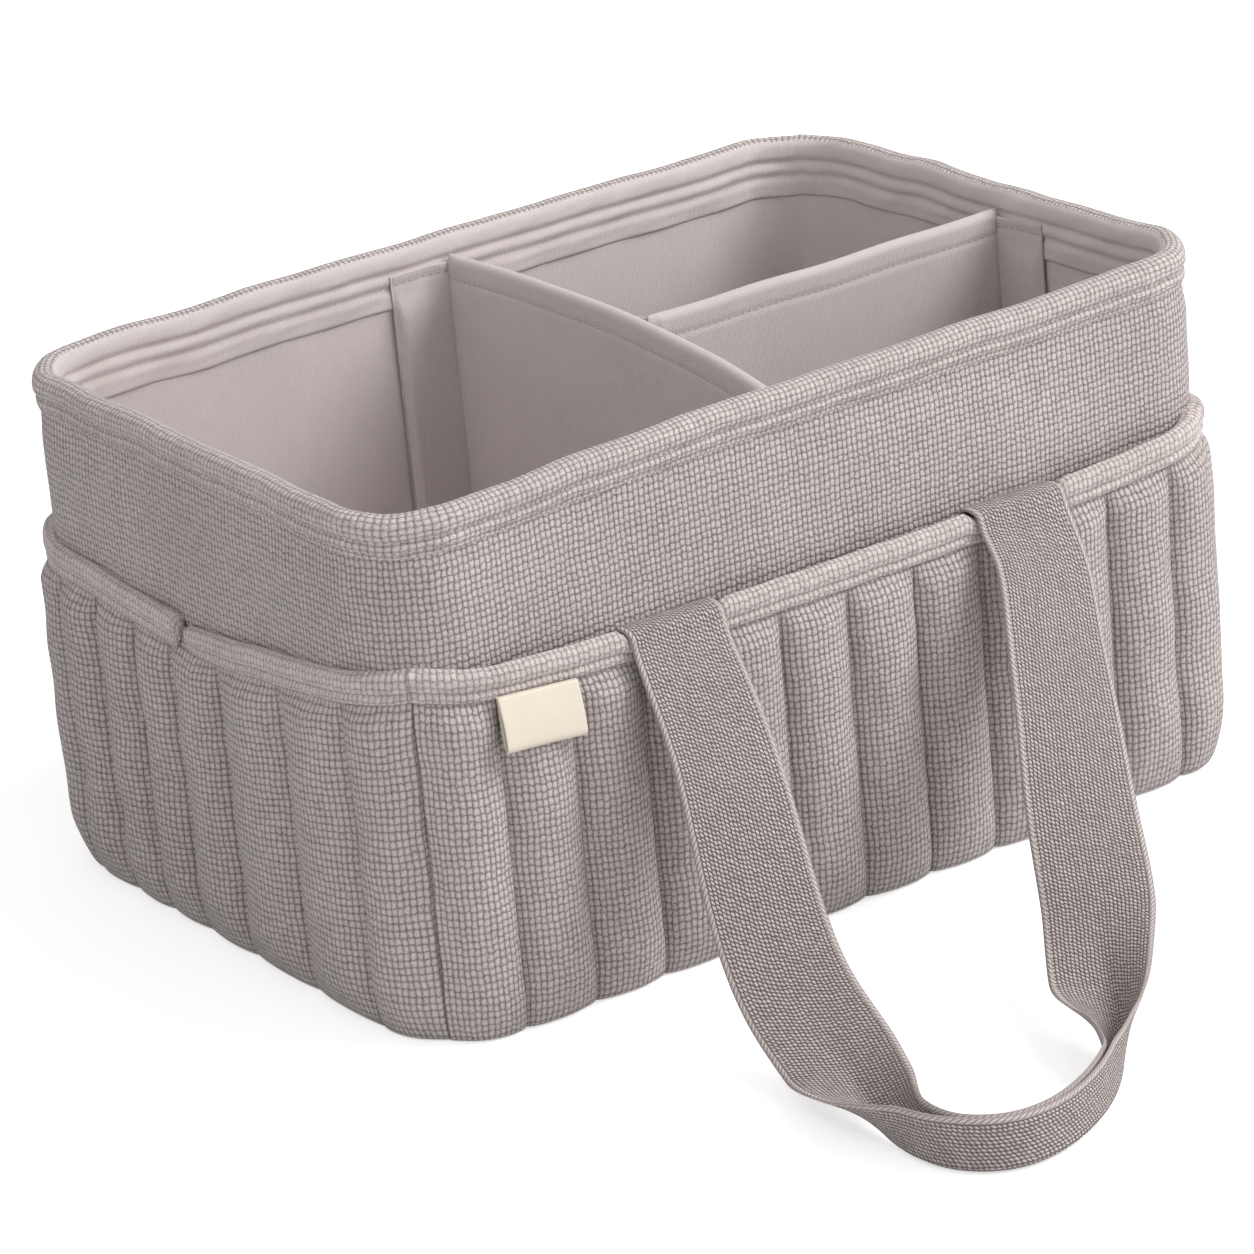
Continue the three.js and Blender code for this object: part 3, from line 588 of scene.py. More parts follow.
def ring_points(step, section):
    """Points round the box. section gives the reaches and heights at a column of ways round it."""
    parts = []
    way = 0
    for side, along in ring_places(step):
        reach, height = section((way + along + side.run_half)[:, None])
        parts.append(side.wall(along[:, None], reach, height))
        way += 2 * side.run_half
    return settled(np.concatenate(parts))


# Stitches: short rods with pointed ends, as rings of [share of the half length, share of the radius]
STITCH_RINGS = [(-0.72, 0.72), (0, 1), (0.72, 0.72)]
STITCH_SIDES = 6


def stitch_form(length, radius, sink):
    """Points of one stitch along, out of and across the cloth, its faces and cloth coordinates."""
    turns = TURN * np.arange(STITCH_SIDES) / STITCH_SIDES
    points = [(along * length / 2, radius * wide * math.sin(turn) - sink, radius * wide * math.cos(turn))
              for along, wide in STITCH_RINGS for turn in turns]
    first, last = len(points), len(points) + 1
    points += [(end * length / 2, -sink - radius / 2, 0) for end in (-1, 1)]
    pairs = [(k, (k + 1) % STITCH_SIDES) for k in range(STITCH_SIDES)]
    faces, uv = [], []
    for ring in range(len(STITCH_RINGS) - 1):
        here, there = ring * STITCH_SIDES, (ring + 1) * STITCH_SIDES
        for k, following in pairs:
            faces.append((here + k, here + following, there + following, there + k))
            uv += [(ring, k / 2), (ring, k / 2 + 0.5), (ring + 1, k / 2 + 0.5), (ring + 1, k / 2)]
    for k, following in pairs:
        faces += [(first, following, k), (last, there + k, there + following)]
        uv += [(0, 0), (0.5, 0.5), (0.5, 0), (3, 0), (2.5, 0), (2.5, 0.5)]
    return np.array(points), faces, uv


def stitch_rows(name, rows, body="caddy", stitch=SEAM_STITCH):
    """Stitches along each row, which is points and the way out of the cloth at each of them."""
    pitch, length, radius, sink = stitch
    form, form_faces, form_uv = stitch_form(length, radius, sink)
    parts = []
    for points, outs in rows:
        lengths = lengths_along(points)
        places = np.arange(pitch / 2, lengths[-1], pitch)
        ends = [at_lengths(places + share * length, lengths, points) for share in (-1 / 3, 1 / 3)]
        tangents = unit(ends[1] - ends[0])
        out = square_to(at_lengths(places, lengths, outs), tangents)
        axes = np.stack([tangents, out, np.cross(tangents, out)], 1)
        parts.append(at_lengths(places, lengths, points)[:, None] + form @ axes)
    stitches = np.concatenate(parts)
    bases = np.arange(len(stitches)) * len(form)
    faces = [[base + corner for corner in face] for base in bases.tolist() for face in form_faces]
    new_piece(name, stitches.reshape(-1, 3), faces, THREAD, body, form_uv * len(stitches))


def row_with_outs(points, row, loop):
    """One row of a grid of points, and the cloth's way out along it."""
    line = points[:, row]
    up = points[:, (row + 1) % points.shape[1]] - points[:, row - 1]
    if not loop:
        return line, np.cross(np.gradient(line, axis=0), up)
    tangent = np.roll(line, -1, 0) - np.roll(line, 1, 0)
    return closed(line), np.cross(closed(tangent), closed(up))


def nearest_row(points, column, height):
    """The row of the cloth's outer face that lies nearest to that height in one column."""
    outer = points[column, : points.shape[1] // 2]
    return int(np.argmin(np.abs(outer[:, 2] - height)))


# Rim: a roll of cloth sewn down by two lines outside, with a facing and its ridges inside
RIM_STEP = 2.4
RIM_ROWS = 92
RIM_LINES = [-9.0, -13.4]
RIM_LINE_WIDTH = 1.6
RIM_INNER_LINE = -9.2
RIM_CREST, RIM_INSIDE, RIM_FACING = -3.4, -6, -6.3
RIM_FACING_TOP = -1
RIM_GATHER, RIM_ROUGH, RIM_RIPPLE, RIM_WANDER = 0.16, 0.35, 0.1, 0.5
RIM_SECTION = [
    (-0.7, -14.9), (0.1, -14.9), (0.45, -14.2), (0.3, -13.4), (1.0, -12.4), (1.2, -11.3), (1.0, -10.2),
    (0.2, -9.0), (1.2, -7.7), (1.8, -5.4), (1.3, -2.6), (-0.7, -0.7), (-3.4, 0.0),
    (-6.0, -0.7), (-7.9, -2.8), (-8.5, -5.4), (-8.2, -7.8), (-7.4, -9.2), (-8.1, -10.8), (-8.3, -13.4),
    (-7.5, -15.2), (-8.0, -17.0), (-8.1, -21.0), (-7.3, -23.8), (-6.6, -23.6), (-6.2, -20), (-3.5, -7.0),
    (-1.1, -10.0), (-0.9, -13.5),
]


def build_rim():
    section = spline(RIM_SECTION, RIM_ROWS)
    out, drop = section.T
    rough, ripple = waves(11, length=26), waves(12, length=5.5)
    sewn = (out > RIM_CREST) * sum(bell((drop - mark) / RIM_LINE_WIDTH) for mark in RIM_LINES)

    def place(way):
        gather = RIM_GATHER * sewn * np.sin(TURN * way / STITCH_PITCH)
        reach = out + gather + RIM_ROUGH * rough(way, drop * 2) + RIM_RIPPLE * ripple(way, drop)
        return reach, RIM_TOP + drop + RIM_WANDER * rough(way * 0.6 + 400, 0 * drop)

    points = ring_points(RIM_STEP, place)
    rim = grid_piece("rim_roll", points, RIM_CLOTH, loop_columns=True)
    rim.data.materials.append(LINING_CLOTH)
    facing = (out < RIM_FACING) & (drop < RIM_FACING_TOP)
    rim.data.polygons.foreach_set("material_index", np.tile(facing, len(points)).astype(np.int32))
    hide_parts("rim_binding")
    rows = [row_with_outs(points, nearest_row(points, 0, RIM_TOP + mark), True) for mark in RIM_LINES]
    stitch_rows("rim_stitches", rows)
    inner = int(np.argmin(np.where(out > RIM_INSIDE, np.inf, np.abs(drop - RIM_INNER_LINE))))
    stitch_rows("rim_inner_stitches", [row_with_outs(points, inner, True)])


# Shell cloth: from the floor up into the rim, with a soft swell between the rim and the hems
SHELL_STEP = 3
SHELL_LIFT, SHELL_BARE, SHELL_TUCK = 2.2, 110, 190
SHELL_THICKNESS = 1.2
SHELL_FACE, SHELL_OUT, SHELL_SWELL, SHELL_CRUMPLE = -0.15, 0.8, 0.55, 0.3
SHELL_GATHER, SHELL_GATHER_PITCH = 0.12, 6.3


def build_shell():
    swell, crumple = waves(21, length=70), waves(22, length=24)
    hidden = np.linspace(SHELL_LIFT, SHELL_BARE, 16, endpoint=False)
    heights = np.concatenate([hidden, np.linspace(SHELL_BARE, SHELL_TUCK, 44)])
    inside = np.linspace(SHELL_TUCK, SHELL_LIFT, 14)
    share = ramp(heights, SHELL_BARE - 5, 35) * ramp(heights, SHELL_TUCK - 6, -14)
    gathered = SHELL_GATHER * bell((SHELL_TUCK - 5 - heights) / 7)

    def place(way):
        soft = SHELL_SWELL * swell(way, heights) + SHELL_CRUMPLE * crumple(way, heights * 0.7)
        reach = SHELL_FACE + share * (SHELL_OUT + soft)
        reach = reach + gathered * np.sin(TURN * way / SHELL_GATHER_PITCH)
        back = np.full((len(way), len(inside)), -SHELL_THICKNESS)
        return np.hstack([reach, back]), np.concatenate([heights, inside])

    points = ring_points(SHELL_STEP, place)
    shell = grid_piece("shell_cloth", points, SHELL_CLOTH, loop_columns=True)
    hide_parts("outer_shell_cloth")


# Lining: its face is smooth, with slack folds that run up and down
LINING_STEP = 4
LINING_TOP = RIM_TOP - 21
LINING_UNDER = 0.6
LINING_FOLD, LINING_CREASE = 0.5, 0.16


def build_lining():
    fold, crease = waves(31, length=60), waves(32, length=22)
    heights = np.linspace(FLOOR_TOP - LINING_UNDER, LINING_TOP, 46)
    slack = ramp(heights, FLOOR_TOP, 25) * ramp(heights, LINING_TOP + 4, -30)

    def place(way):
        folds = LINING_FOLD * fold(way, heights * 0.3) + LINING_CREASE * crease(way, heights * 0.25)
        reach = slack * folds - WALL
        return (np.hstack([reach, np.full_like(reach, LINING - WALL)]),
                np.concatenate([heights, heights[::-1]]))

    points = ring_points(LINING_STEP, place)
    lining = grid_piece("inner_lining", points, LINING_CLOTH, loop_columns=True,
                        flip=True)
    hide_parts("wall_lining")


# Floor inside and cloth under the base: plates with a soft edge
PLATE_STEP = 6
PLATE_RINGS = 22
FLOOR_EDGE, FLOOR_SWELL, FLOOR_DIMPLE = -1.0, 1.6, 0.35
FLOOR_GAP = 0.35
BASE_REACH = 5.4
BASE_ROUND_TOP, BASE_ROUND_BOTTOM, BASE_ROUND_POWER = 0.4, 0.5, 24


def plate_points(reach, height_at):
    """Points over the floor inside one outline, from its middle out to its edge."""
    outline = np.concatenate([side.wall(along, reach, 0.0) for side, along in ring_places(PLATE_STEP)])
    shares = np.linspace(0, 1, PLATE_RINGS) ** 0.8
    points = outline[:, None] * shares[:, None]
    points[..., 2] = height_at(points[..., 0], points[..., 1], shares)
    return points


def closed_plate(name, reach, top_at, bottom_at, material):
    upper = plate_points(reach, top_at)
    lower = plate_points(reach, bottom_at)
    edge = np.concatenate([upper[:, 1:], lower[:, :0:-1]], 1)
    columns, rows = edge.shape[:2]
    faces = grid_faces(columns, rows, True, False)[0][:, ::-1].tolist()
    vertices = np.concatenate([edge.reshape(-1, 3), [upper[0, 0]], [lower[0, 0]]])
    top_middle, bottom_middle = columns * rows, columns * rows + 1
    for i in range(columns):
        here, there = i * rows, (i + 1) % columns * rows
        faces += [(top_middle, here, there), (bottom_middle, there + rows - 1, here + rows - 1)]
    uv = [tuple(vertices[k][:2]) for face in faces for k in face]
    return new_piece(name, vertices, faces, material, "caddy", uv)


def build_floor():
    dimple = waves(41, length=45)

    def top(x, y, share):
        dimples = FLOOR_DIMPLE * dimple(x, y) * (1 - share**4)
        return FLOOR_TOP + FLOOR_EDGE + FLOOR_SWELL * (1 - share**9) + dimples

    floor = closed_plate("floor_pad", -WALL - FLOOR_GAP, top, lambda x, y, share: FLOOR_BOTTOM,
                         LINING_CLOTH)
    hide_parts("floor_lining")


def build_base():
    base_top = corners("base_cloth")[1][2]

    def top(x, y, share):
        return base_top - BASE_ROUND_TOP * share**BASE_ROUND_POWER

    def bottom(x, y, share):
        return BASE_ROUND_BOTTOM * share**BASE_ROUND_POWER

    base = closed_plate("base_underside", BASE_REACH, top, bottom, GRID_CLOTH)
    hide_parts("base_cloth")


# Pocket panels: channels that swell between creases, draw in under the hem and curl under at the floor
CHANNEL_COLUMNS = 16
PANEL_ROWS = 53
PANEL_LIFT = 0.5
PANEL_LAP = 0.6
CREASE, CROWN, CROWN_POWER = 2.4, 4.8, 0.5
SEAM_CROWN, SEAM_POWER, SEAM_GROOVE = 0.6, 1.6, 0.3
PLUMPNESS, SWELL, CRUMPLE = 0.10, 0.14, 0.06
FOOT = 20
FOOT_INWARD, CURL_INWARD = 0.56, 0.25
FOOT_CURVE = (2.4, 1 / 1.9)
FOOT_CROWNS = {"front": 0.8, "right": 0.5, "rear": 0.8, "left": 0.4}
SHOULDER, SHOULDER_POWER, SHOULDER_SINK = 9, 0.55, 0.25
TUCK_LAP, TUCK_DROP, TUCK_DEEP, TUCK_LEVELS, TUCK_FOOT = 2, 3.4, 20, (60, 26), (0.7, 8)


def channel_places(side):
    """Places along a side with the same count in each channel, their phase in it, and its number."""
    edges = np.array(side.creases) * side.run_half
    phase = 0.5 - 0.5 * np.cos(math.pi * np.linspace(0, 1, CHANNEL_COLUMNS, endpoint=False))
    along = (edges[:-1, None] + np.diff(edges)[:, None] * phase).ravel()
    channels = len(edges) - 1
    return (np.append(along, edges[-1]), np.append(np.tile(phase, channels), 1),
            np.append(np.repeat(np.arange(channels), CHANNEL_COLUMNS), channels - 1))


def build_panel(side, seed, material):
    along, phase, channel = channel_places(side)
    mouth, neck, room = side.mouth(along), side.neck(along), side.room_at(along)
    hem_bottom = mouth - HEM_HEIGHT
    arch = np.sin(math.pi * phase)
    by_seam = ((channel == 0) & (phase < 0.5)) | ((channel == channel[-1]) & (phase > 0.5))
    flat = SEAM_CROWN + (1 - SEAM_CROWN) * arch**SEAM_POWER
    crown = np.where(by_seam, flat, arch**CROWN_POWER)[:, None]
    crown[[0, -1]] = SEAM_GROOVE
    random = np.random.default_rng(seed)
    plump = 1 + PLUMPNESS * random.uniform(-1, 1, len(side.creases))[channel][:, None]
    swell, crumple = waves(seed, length=40), waves(seed + 1, length=15)
    shares = np.concatenate([[0, 0], np.linspace(0, 1, PANEL_ROWS + 1)[1:] ** 1.25])
    level = PANEL_LIFT + (hem_bottom + PANEL_LAP - PANEL_LIFT)[:, None] * shares
    foot = 1 - (1 - np.clip(level / FOOT, 0, 1)) ** FOOT_CURVE[0]
    inward = FOOT_INWARD + (1 - FOOT_INWARD) * foot ** FOOT_CURVE[1]
    inward[:, 0] = CURL_INWARD
    foot_crown = FOOT_CROWNS[side.name]
    full = ramp(level, hem_bottom[:, None], -SHOULDER) ** SHOULDER_POWER
    full *= foot_crown + (1 - foot_crown) * smooth_step(level / FOOT)
    place = along[:, None]
    waviness = 1 + SWELL * swell(place, level) + CRUMPLE * crumple(place, level * 0.6)
    pinch = (CREASE + CROWN * plump * waviness) * crown - CREASE
    reach = (neck[:, None] + pinch * full - SHOULDER_SINK * (1 - full)) * inward
    tuck = [(neck, hem_bottom + TUCK_LAP), (neck, mouth - TUCK_DROP), (room + 0.1, mouth - TUCK_DROP),
            (room, mouth - TUCK_DEEP), *[(room, height) for height in TUCK_LEVELS], TUCK_FOOT]
    tuck = np.array([np.broadcast_arrays(out, height, along)[:2] for out, height in tuck])
    points = side.wall(place, np.hstack([reach, tuck[:, 0].T]), np.hstack([level, tuck[:, 1].T]))
    panel = grid_piece(f"{side.name}_quilted_pocket", points, material)
    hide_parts(f"{side.name}_pocket_panel")
    sewn = np.ones(points.shape[:2], bool)
    sewn[:, 2:len(shares) - 1] = (phase % 1 == 0)[:, None]
    return panel, sewn.ravel()


# The channels' filling: a cloth simulation blows each panel out between its seams
SIMULATED_STEPS = 20
PRESSURE = 4
SLACK = 0.002
MOST_MOVE = 1.4


def vertex_places(mesh):
    places = np.zeros(len(mesh.vertices) * 3, np.float32)
    mesh.vertices.foreach_get("co", places)
    return places.reshape(-1, 3).astype(float)


def place_vertices(mesh, places):
    mesh.vertices.foreach_set("co", places.astype(np.float32).ravel())
    mesh.update()


def inflate(panels):
    """Runs all panels' cloth at once, and keeps no move longer than the cap. Seams stay where they are."""
    scene = bpy.context.scene
    for panel, sewn in panels:
        group = panel.vertex_groups.new(name="sewn")
        group.add(np.flatnonzero(sewn).tolist(), 1, "REPLACE")
        cloth = panel.modifiers.new("filling", "CLOTH")
        cloth.settings.vertex_group_mass = "sewn"
        cloth.settings.use_pressure = True
        cloth.settings.uniform_pressure_force = PRESSURE
        cloth.settings.effector_weights.gravity = 0
        cloth.settings.shrink_min = -SLACK
        cloth.settings.quality = 5
        cloth.point_cache.frame_start = 1
        cloth.point_cache.frame_end = SIMULATED_STEPS
    for step in range(1, SIMULATED_STEPS + 1):
        scene.frame_set(step)
    graph = bpy.context.evaluated_depsgraph_get()
    cap = MOST_MOVE * MM
    for panel, _ in panels:
        before = vertex_places(panel.data)
        move = vertex_places(panel.evaluated_get(graph).data) - before
        length = np.linalg.norm(move, axis=1, keepdims=True)
        move *= cap * np.tanh(length / cap) / np.maximum(length, 1e-9)
        panel.modifiers.clear()
        panel.vertex_groups.clear()
        place_vertices(panel.data, before + move)
    scene.frame_set(1)


# Hems: folded bands on the pockets' mouths, with two lines of stitches
HEM_STEP = 2.2
HEM_ROWS = 60
HEM_MARKS = [0.35, 3.9]
HEM_LINE_WIDTH = 1.3
HEM_GATHER, HEM_ROUGH, HEM_WANDER = 0.14, 0.16, 0.22
HEM_DENT, DENT_MARGIN, DENT_FADE = 2.9, 2.5, 3
HEM_END_ROUND, HEM_END_LEAST = 3, 0.03
HEM_JOIN = -10
JOIN_GAP = 0.3
JOIN_REACH, JOIN_SINK, JOIN_DROP, JOIN_SWELL, JOIN_LIFT = 13, 0.9, 2.4, 1.5, 0.8


def hem_controls(side, along):
    top = side.mouth(along)
    bottom = top - HEM_HEIGHT
    outside = side.neck(along) + 0.5
    inside = side.room_at(along) - 0.5
    rows = [
        (outside - 0.35, bottom - 0.2), (outside + 0.15, bottom + 0.3), (outside + 1.0, bottom + 1.3),
        (outside + 1.0, bottom + 2.7), (outside + 0.35, bottom + 3.9), (outside + 1.25, bottom + 5.2),
        (outside + 1.6, bottom + 7.6), (outside + 1.0, top - 1.5), ((outside + inside) / 2, top),
        (inside - 1.0, top - 1.5), (inside - 1.3, bottom + 6.5), (inside - 1.2, bottom + 3),
        (inside - 1.1, bottom), (inside - 0.1, bottom + 0.3), (inside, bottom + 5),
        (inside + 0.3, top - 3), (outside - 0.5, top - 3), (outside - 0.3, bottom + 5),
    ]
    return np.array(rows).transpose(0, 2, 1)


def strap_places(end):
    return HANDLE_SHIFT + end * HANDLE_SPACING / 2


def under_straps(along):
    """1 where a webbing strap presses on the hem, else 0, with soft ends."""
    away = np.minimum(*[np.abs(along - strap_places(end)) for end in (-1, 1)])
    return ramp(away, WEBBING_WIDTH / 2 + DENT_MARGIN, -DENT_FADE)


def rounded_end(reach, height, inset):
    """Draws a section in towards its own middle near an end."""
    share = rounded(inset, HEM_END_ROUND, HEM_END_LEAST)
    return [values.mean(0) + (values - values.mean(0)) * share for values in (reach, height)]


def build_hem(side, name, seed, start=None, stop=None):
    first = -side.run_half if start is None else start
    last = side.run_half if stop is None else stop
    along = np.linspace(first, last, round((last - first) / HEM_STEP) + 1)
    section = spline(hem_controls(side, along), HEM_ROWS)
    reach, height = section[..., 0], section[..., 1]
    bottom = side.mouth(along) - HEM_HEIGHT
    rough = waves(seed, length=30)
    line = sum(bell((height - bottom - mark) / HEM_LINE_WIDTH) for mark in HEM_MARKS)
    outer = reach > (side.neck(along) + side.room_at(along)) / 2
    gather = HEM_GATHER * line * outer * np.sin(TURN * along / STITCH_PITCH)
    reach = reach + gather + HEM_ROUGH * rough(along, height)
    height = height + HEM_WANDER * rough(along + 300, 0 * height)
    if side.face == HALF_WIDTH:
        height = height - HEM_DENT * under_straps(along) * ramp(height, bottom, HEM_HEIGHT)
    if start is not None:
        near = np.exp(-(along - first) / JOIN_REACH)
        height = height - JOIN_DROP * near * np.clip((height - bottom) / HEM_HEIGHT, 0, 1)
        reach, height = rounded_end(reach - JOIN_SINK * near, height, along - first)
    if stop is not None:
        near = np.exp(-(last - along) / JOIN_REACH)
        reach, height = rounded_end(reach + JOIN_SWELL * near * outer, height + JOIN_LIFT * near,
                                    last - along)
    points = side.wall(along[:, None], reach.T, height.T)
    hem = grid_piece(name, points, HEM_CLOTH)
    middle = len(along) // 2
    rows = [row_with_outs(points, nearest_row(points, middle, bottom[middle] + mark), False)
            for mark in HEM_MARKS]
    stitch_rows(f"{name}_stitches", rows)
    return hem


def build_hems():
    for name, seed in (("front", 61), ("right", 62), ("rear", 63)):
        hem = build_hem(SIDES[name], f"{name}_hem", seed)
        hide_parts(f"{name}_pocket_hem")
    rear_part = build_hem(SIDES["left"], "left_hem_rear_part", 64, stop=HEM_JOIN - JOIN_GAP)
    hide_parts("left_pocket_hem_rear")
    front_part = build_hem(SIDES["left"], "left_hem_front_part", 65, start=HEM_JOIN + JOIN_GAP)
    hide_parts("left_pocket_hem_front")


# Webbing handles: from the anchor inside the pocket's mouth, over the hem, out to the grip and back
HANDLE_SPACING = 154
HANDLE_SHIFT = 1
HANDLE_REACH = 203
ANCHOR = 42
ANCHOR_ROWS = (ANCHOR, ANCHOR / 2, 6, 1)
STRAP_IN = 0.4 + WEBBING / 2
STRAP_OUT = LONG_ROOM + PANEL + 2.2 + WEBBING / 2
STRAP_LIFT = WEBBING / 2 + 0.1
STRAP_FLOOR = 0.05
STRAP_STEP = 1.8
STRAP_COLUMNS = 23
BEND_RADIUS = 3
FOLD_RADIUS = 1.3
FACE_LEAN = 0.3
CREST_DROP = 1.9
# [spacing share, reach share, start height share, fold share, share by which the face looks up, degrees]
ROUTE_SHARES = [
    (0, 0, 1, 0, 0, 0),
    (-0.005, 0.038, 0.895, 0, 0, -2),
    (-0.013, 0.104, 0.744, 0, 0, -6),
    (-0.04, 0.182, 0.57, 0, 0.1, -13),
    (-0.08, 0.271, 0.365, 0, 0.3, -21),
    (-0.13, 0.402, 0.185, 0, 0.7, -26),
    (-0.17, 0.555, 0.085, 0.08, 1, -21),
    (-0.218, 0.687, 0.03, 0.42, 1, -8),
    (-0.246, 0.813, 0, 0.88, 1, 0),
    (-0.218, 0.917, 0, 1, 1, 0),
    (-0.136, 0.972, 0, 1, 1, 0),
    (-0.017, 0.98, 0, 1, 1, 0),
    (0.115, 0.944, 0, 1, 1, 0),
    (0.245, 0.877, 0, 1, 1, 0),
    (0.347, 0.8, 0.025, 0.78, 1, 6),
    (0.452, 0.682, 0.12, 0.24, 1, 19),
    (0.564, 0.564, 0.24, 0, 0.8, 18),
    (0.684, 0.422, 0.38, 0, 0.5, 14),
    (0.808, 0.28, 0.56, 0, 0.2, 12),
    (0.917, 0.15, 0.745, 0, 0, 9),
    (0.987, 0.05, 0.9, 0, 0, 4),
    (1, 0, 1, 0, 0, 0),
]


def bend_height(side, end):
    edges = strap_places(end) + np.array([-1, 1]) * WEBBING_WIDTH / 2
    return float(side.mouth(edges).mean()) + WEBBING / 2 - BEND_RADIUS - CREST_DROP


def over_hem(side, end):
    """The bend's rows, from the anchor's foot to the start of the loop."""
    x, height = strap_places(end), bend_height(side, end)
    middle, half = (STRAP_OUT + STRAP_IN) / 2, (STRAP_OUT - STRAP_IN) / 2
    rows = [(x, STRAP_IN, height - down, 0, -1, 0, 0, 0) for down in ANCHOR_ROWS]
    for turn in np.linspace(0.85, 0.15, 5) * math.pi:
        out, up = math.cos(turn), math.sin(turn)
        rows.append((x, middle + half * out, height + BEND_RADIUS * up**0.8, 0, out, up, 0, 0))
    return np.array(rows)


def strap_route(side):
    """Rows along a whole handle, seen from its side: three of its place, three of its face's way,
    its fold and its twist."""
    aside, reach, level, fold, lean, twist = np.array(ROUTE_SHARES).T
    loop = np.stack([
        strap_places(-1) + aside * HANDLE_SPACING,
        STRAP_OUT + reach * HANDLE_REACH,
        STRAP_LIFT + level * (bend_height(side, -1) - STRAP_LIFT),
        0 * lean, 1 - lean, FACE_LEAN + (1 - FACE_LEAN) * lean,
        fold, np.radians(twist),
    ], 1)
    return np.concatenate([over_hem(side, -1), loop, over_hem(side, 1)[::-1]])


def strap_section(fold, lateral):
    """Centre lines of the webbing's section for each fold angle, and the way that its face leans."""
    arc = math.pi * FOLD_RADIUS
    radius = arc / np.maximum(fold, 1e-3)
    inside = np.clip(lateral, -arc / 2, arc / 2)
    angle = inside / radius
    past = lateral - inside
    across = radius * np.sin(angle) + past * np.cos(angle)
    up = radius * (1 - np.cos(angle)) + past * np.sin(angle)
    return np.stack([across, up]), np.stack([-np.sin(angle), np.cos(angle)])


def build_handle(name):
    side = SIDES[name]
    route = strap_route(side)
    lengths = lengths_along(route[:, :3])
    count = round(lengths[-1] / STRAP_STEP)
    where = np.linspace(0, lengths[-1], count)
    line = spline(route[:, :3], count)
    tangent = unit(np.gradient(line, axis=0))
    face = square_to(at_lengths(where, lengths, route[:, 3:6]), tangent)
    across = np.cross(face, tangent)
    fold, turn = [smoothed(np.interp(where, lengths, values))[:, None] for values in route[:, 6:].T]
    across, face = across * np.cos(turn) + face * np.sin(turn), face * np.cos(turn) - across * np.sin(turn)
    lateral = np.linspace(-WEBBING_WIDTH / 2, WEBBING_WIDTH / 2, STRAP_COLUMNS)
    flat = np.clip(1 - np.abs(lateral / lateral[-1]) ** SELVAGE_POWER, SELVAGE_LEAST, 1)
    thick = SEEN_WEBBING / 2 * np.sqrt(flat)
    middle, normal = strap_section(math.pi * fold, lateral)
    faces = [middle + thick * normal, (middle - thick * normal)[..., ::-1]]
    aside, up = np.concatenate(faces, -1)[..., None]
    local = line[:, None] + aside * across[:, None] + up * face[:, None]
    world = side.turned(local[..., 0], side.face + local[..., 1], local[..., 2])
    world[..., 2] = np.maximum(world[..., 2], STRAP_FLOOR)
    width_at = np.concatenate([lateral, lateral[::-1]]) + WEBBING_WIDTH / 2
    run = lengths_along(line)
    strap = grid_piece(f"{name}_handle_strap", world, WEBBING_CLOTH, None,
                       cloth=lambda column, row: np.stack([width_at[row % len(width_at)], run[column]], -1))
    level = bend_height(side, -1) * MM
    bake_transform(strap)
    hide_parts(f"{name}_handle_loop",
                *[f"{name}_handle_{end}_{part}" for end in ("left", "right") for part in ("bend", "anchor")])


# Tag: one leaf folded at its bottom, a little open, hung from the hem's seam and bending below it
TAG_HEIGHT = 19.4
TAG_LEAF = 0.9
TAG_DROP, TAG_LEAN, TAG_CURL, TAG_LEVEL = 0.088, 0.114, 0.5, 0.98
TAG_EDGE, TAG_EDGE_LEAST = 0.5, 0.08
TAG_MARGIN, TAG_FACE = (0, 0.25, 0.6), 1.2
TAG_BELOW, TAG_BEFORE = 1.2, 1.2
TAG_PATH = [
    (1.5, 0.6), (1.3, -5), (1.0, -TAG_HEIGHT * 0.55), (0.9, -TAG_HEIGHT + 3), (1.3, -TAG_HEIGHT + 0.7),
    (2.1, -TAG_HEIGHT), (2.9, -TAG_HEIGHT + 0.8), (3.3, -TAG_HEIGHT + 3), (3.4, -TAG_HEIGHT * 0.6),
    (3.0, -TAG_HEIGHT * 0.25), (2.4, 0.6),
]


def build_tag():
    low, high = corners("label_tag")
    width = high[0] - low[0]
    centre = (high[0] + low[0]) / 2
    top = high[2] - TAG_BELOW
    back = float(SIDES["front"].neck(centre)) + TAG_BEFORE
    path = spline(TAG_PATH, 44)
    tangent = unit(np.gradient(path, axis=0))
    normal = np.stack([-tangent[:, 1], tangent[:, 0]], 1)
    margin = np.array(TAG_MARGIN)
    edges = np.concatenate([margin, np.linspace(TAG_FACE, width - TAG_FACE, 18), width - margin[::-1]])
    inset = np.minimum(edges, width - edges)
    thick = (TAG_LEAF / 2 * rounded(inset, TAG_EDGE, TAG_EDGE_LEAST))[:, None, None]
    outline = np.concatenate([path + normal * thick, (path - normal * thick)[:, ::-1]], 1)
    out, down = outline[..., 0], outline[..., 1]
    edge = edges[:, None]
    curl = -TAG_CURL * (2 * edge / width - 1) ** 2 * down / TAG_HEIGHT
    y = -(HALF_WIDTH + back + out - TAG_LEAN * down + curl)
    level = top + down * TAG_LEVEL + TAG_DROP * (width / 2 - edge)
    points = np.stack(np.broadcast_arrays(centre - width / 2 + edge, y, level), -1)
    tag = grid_piece("blank_tag", points, TAG_LEATHER, None)
    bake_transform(tag)
    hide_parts("label_tag")


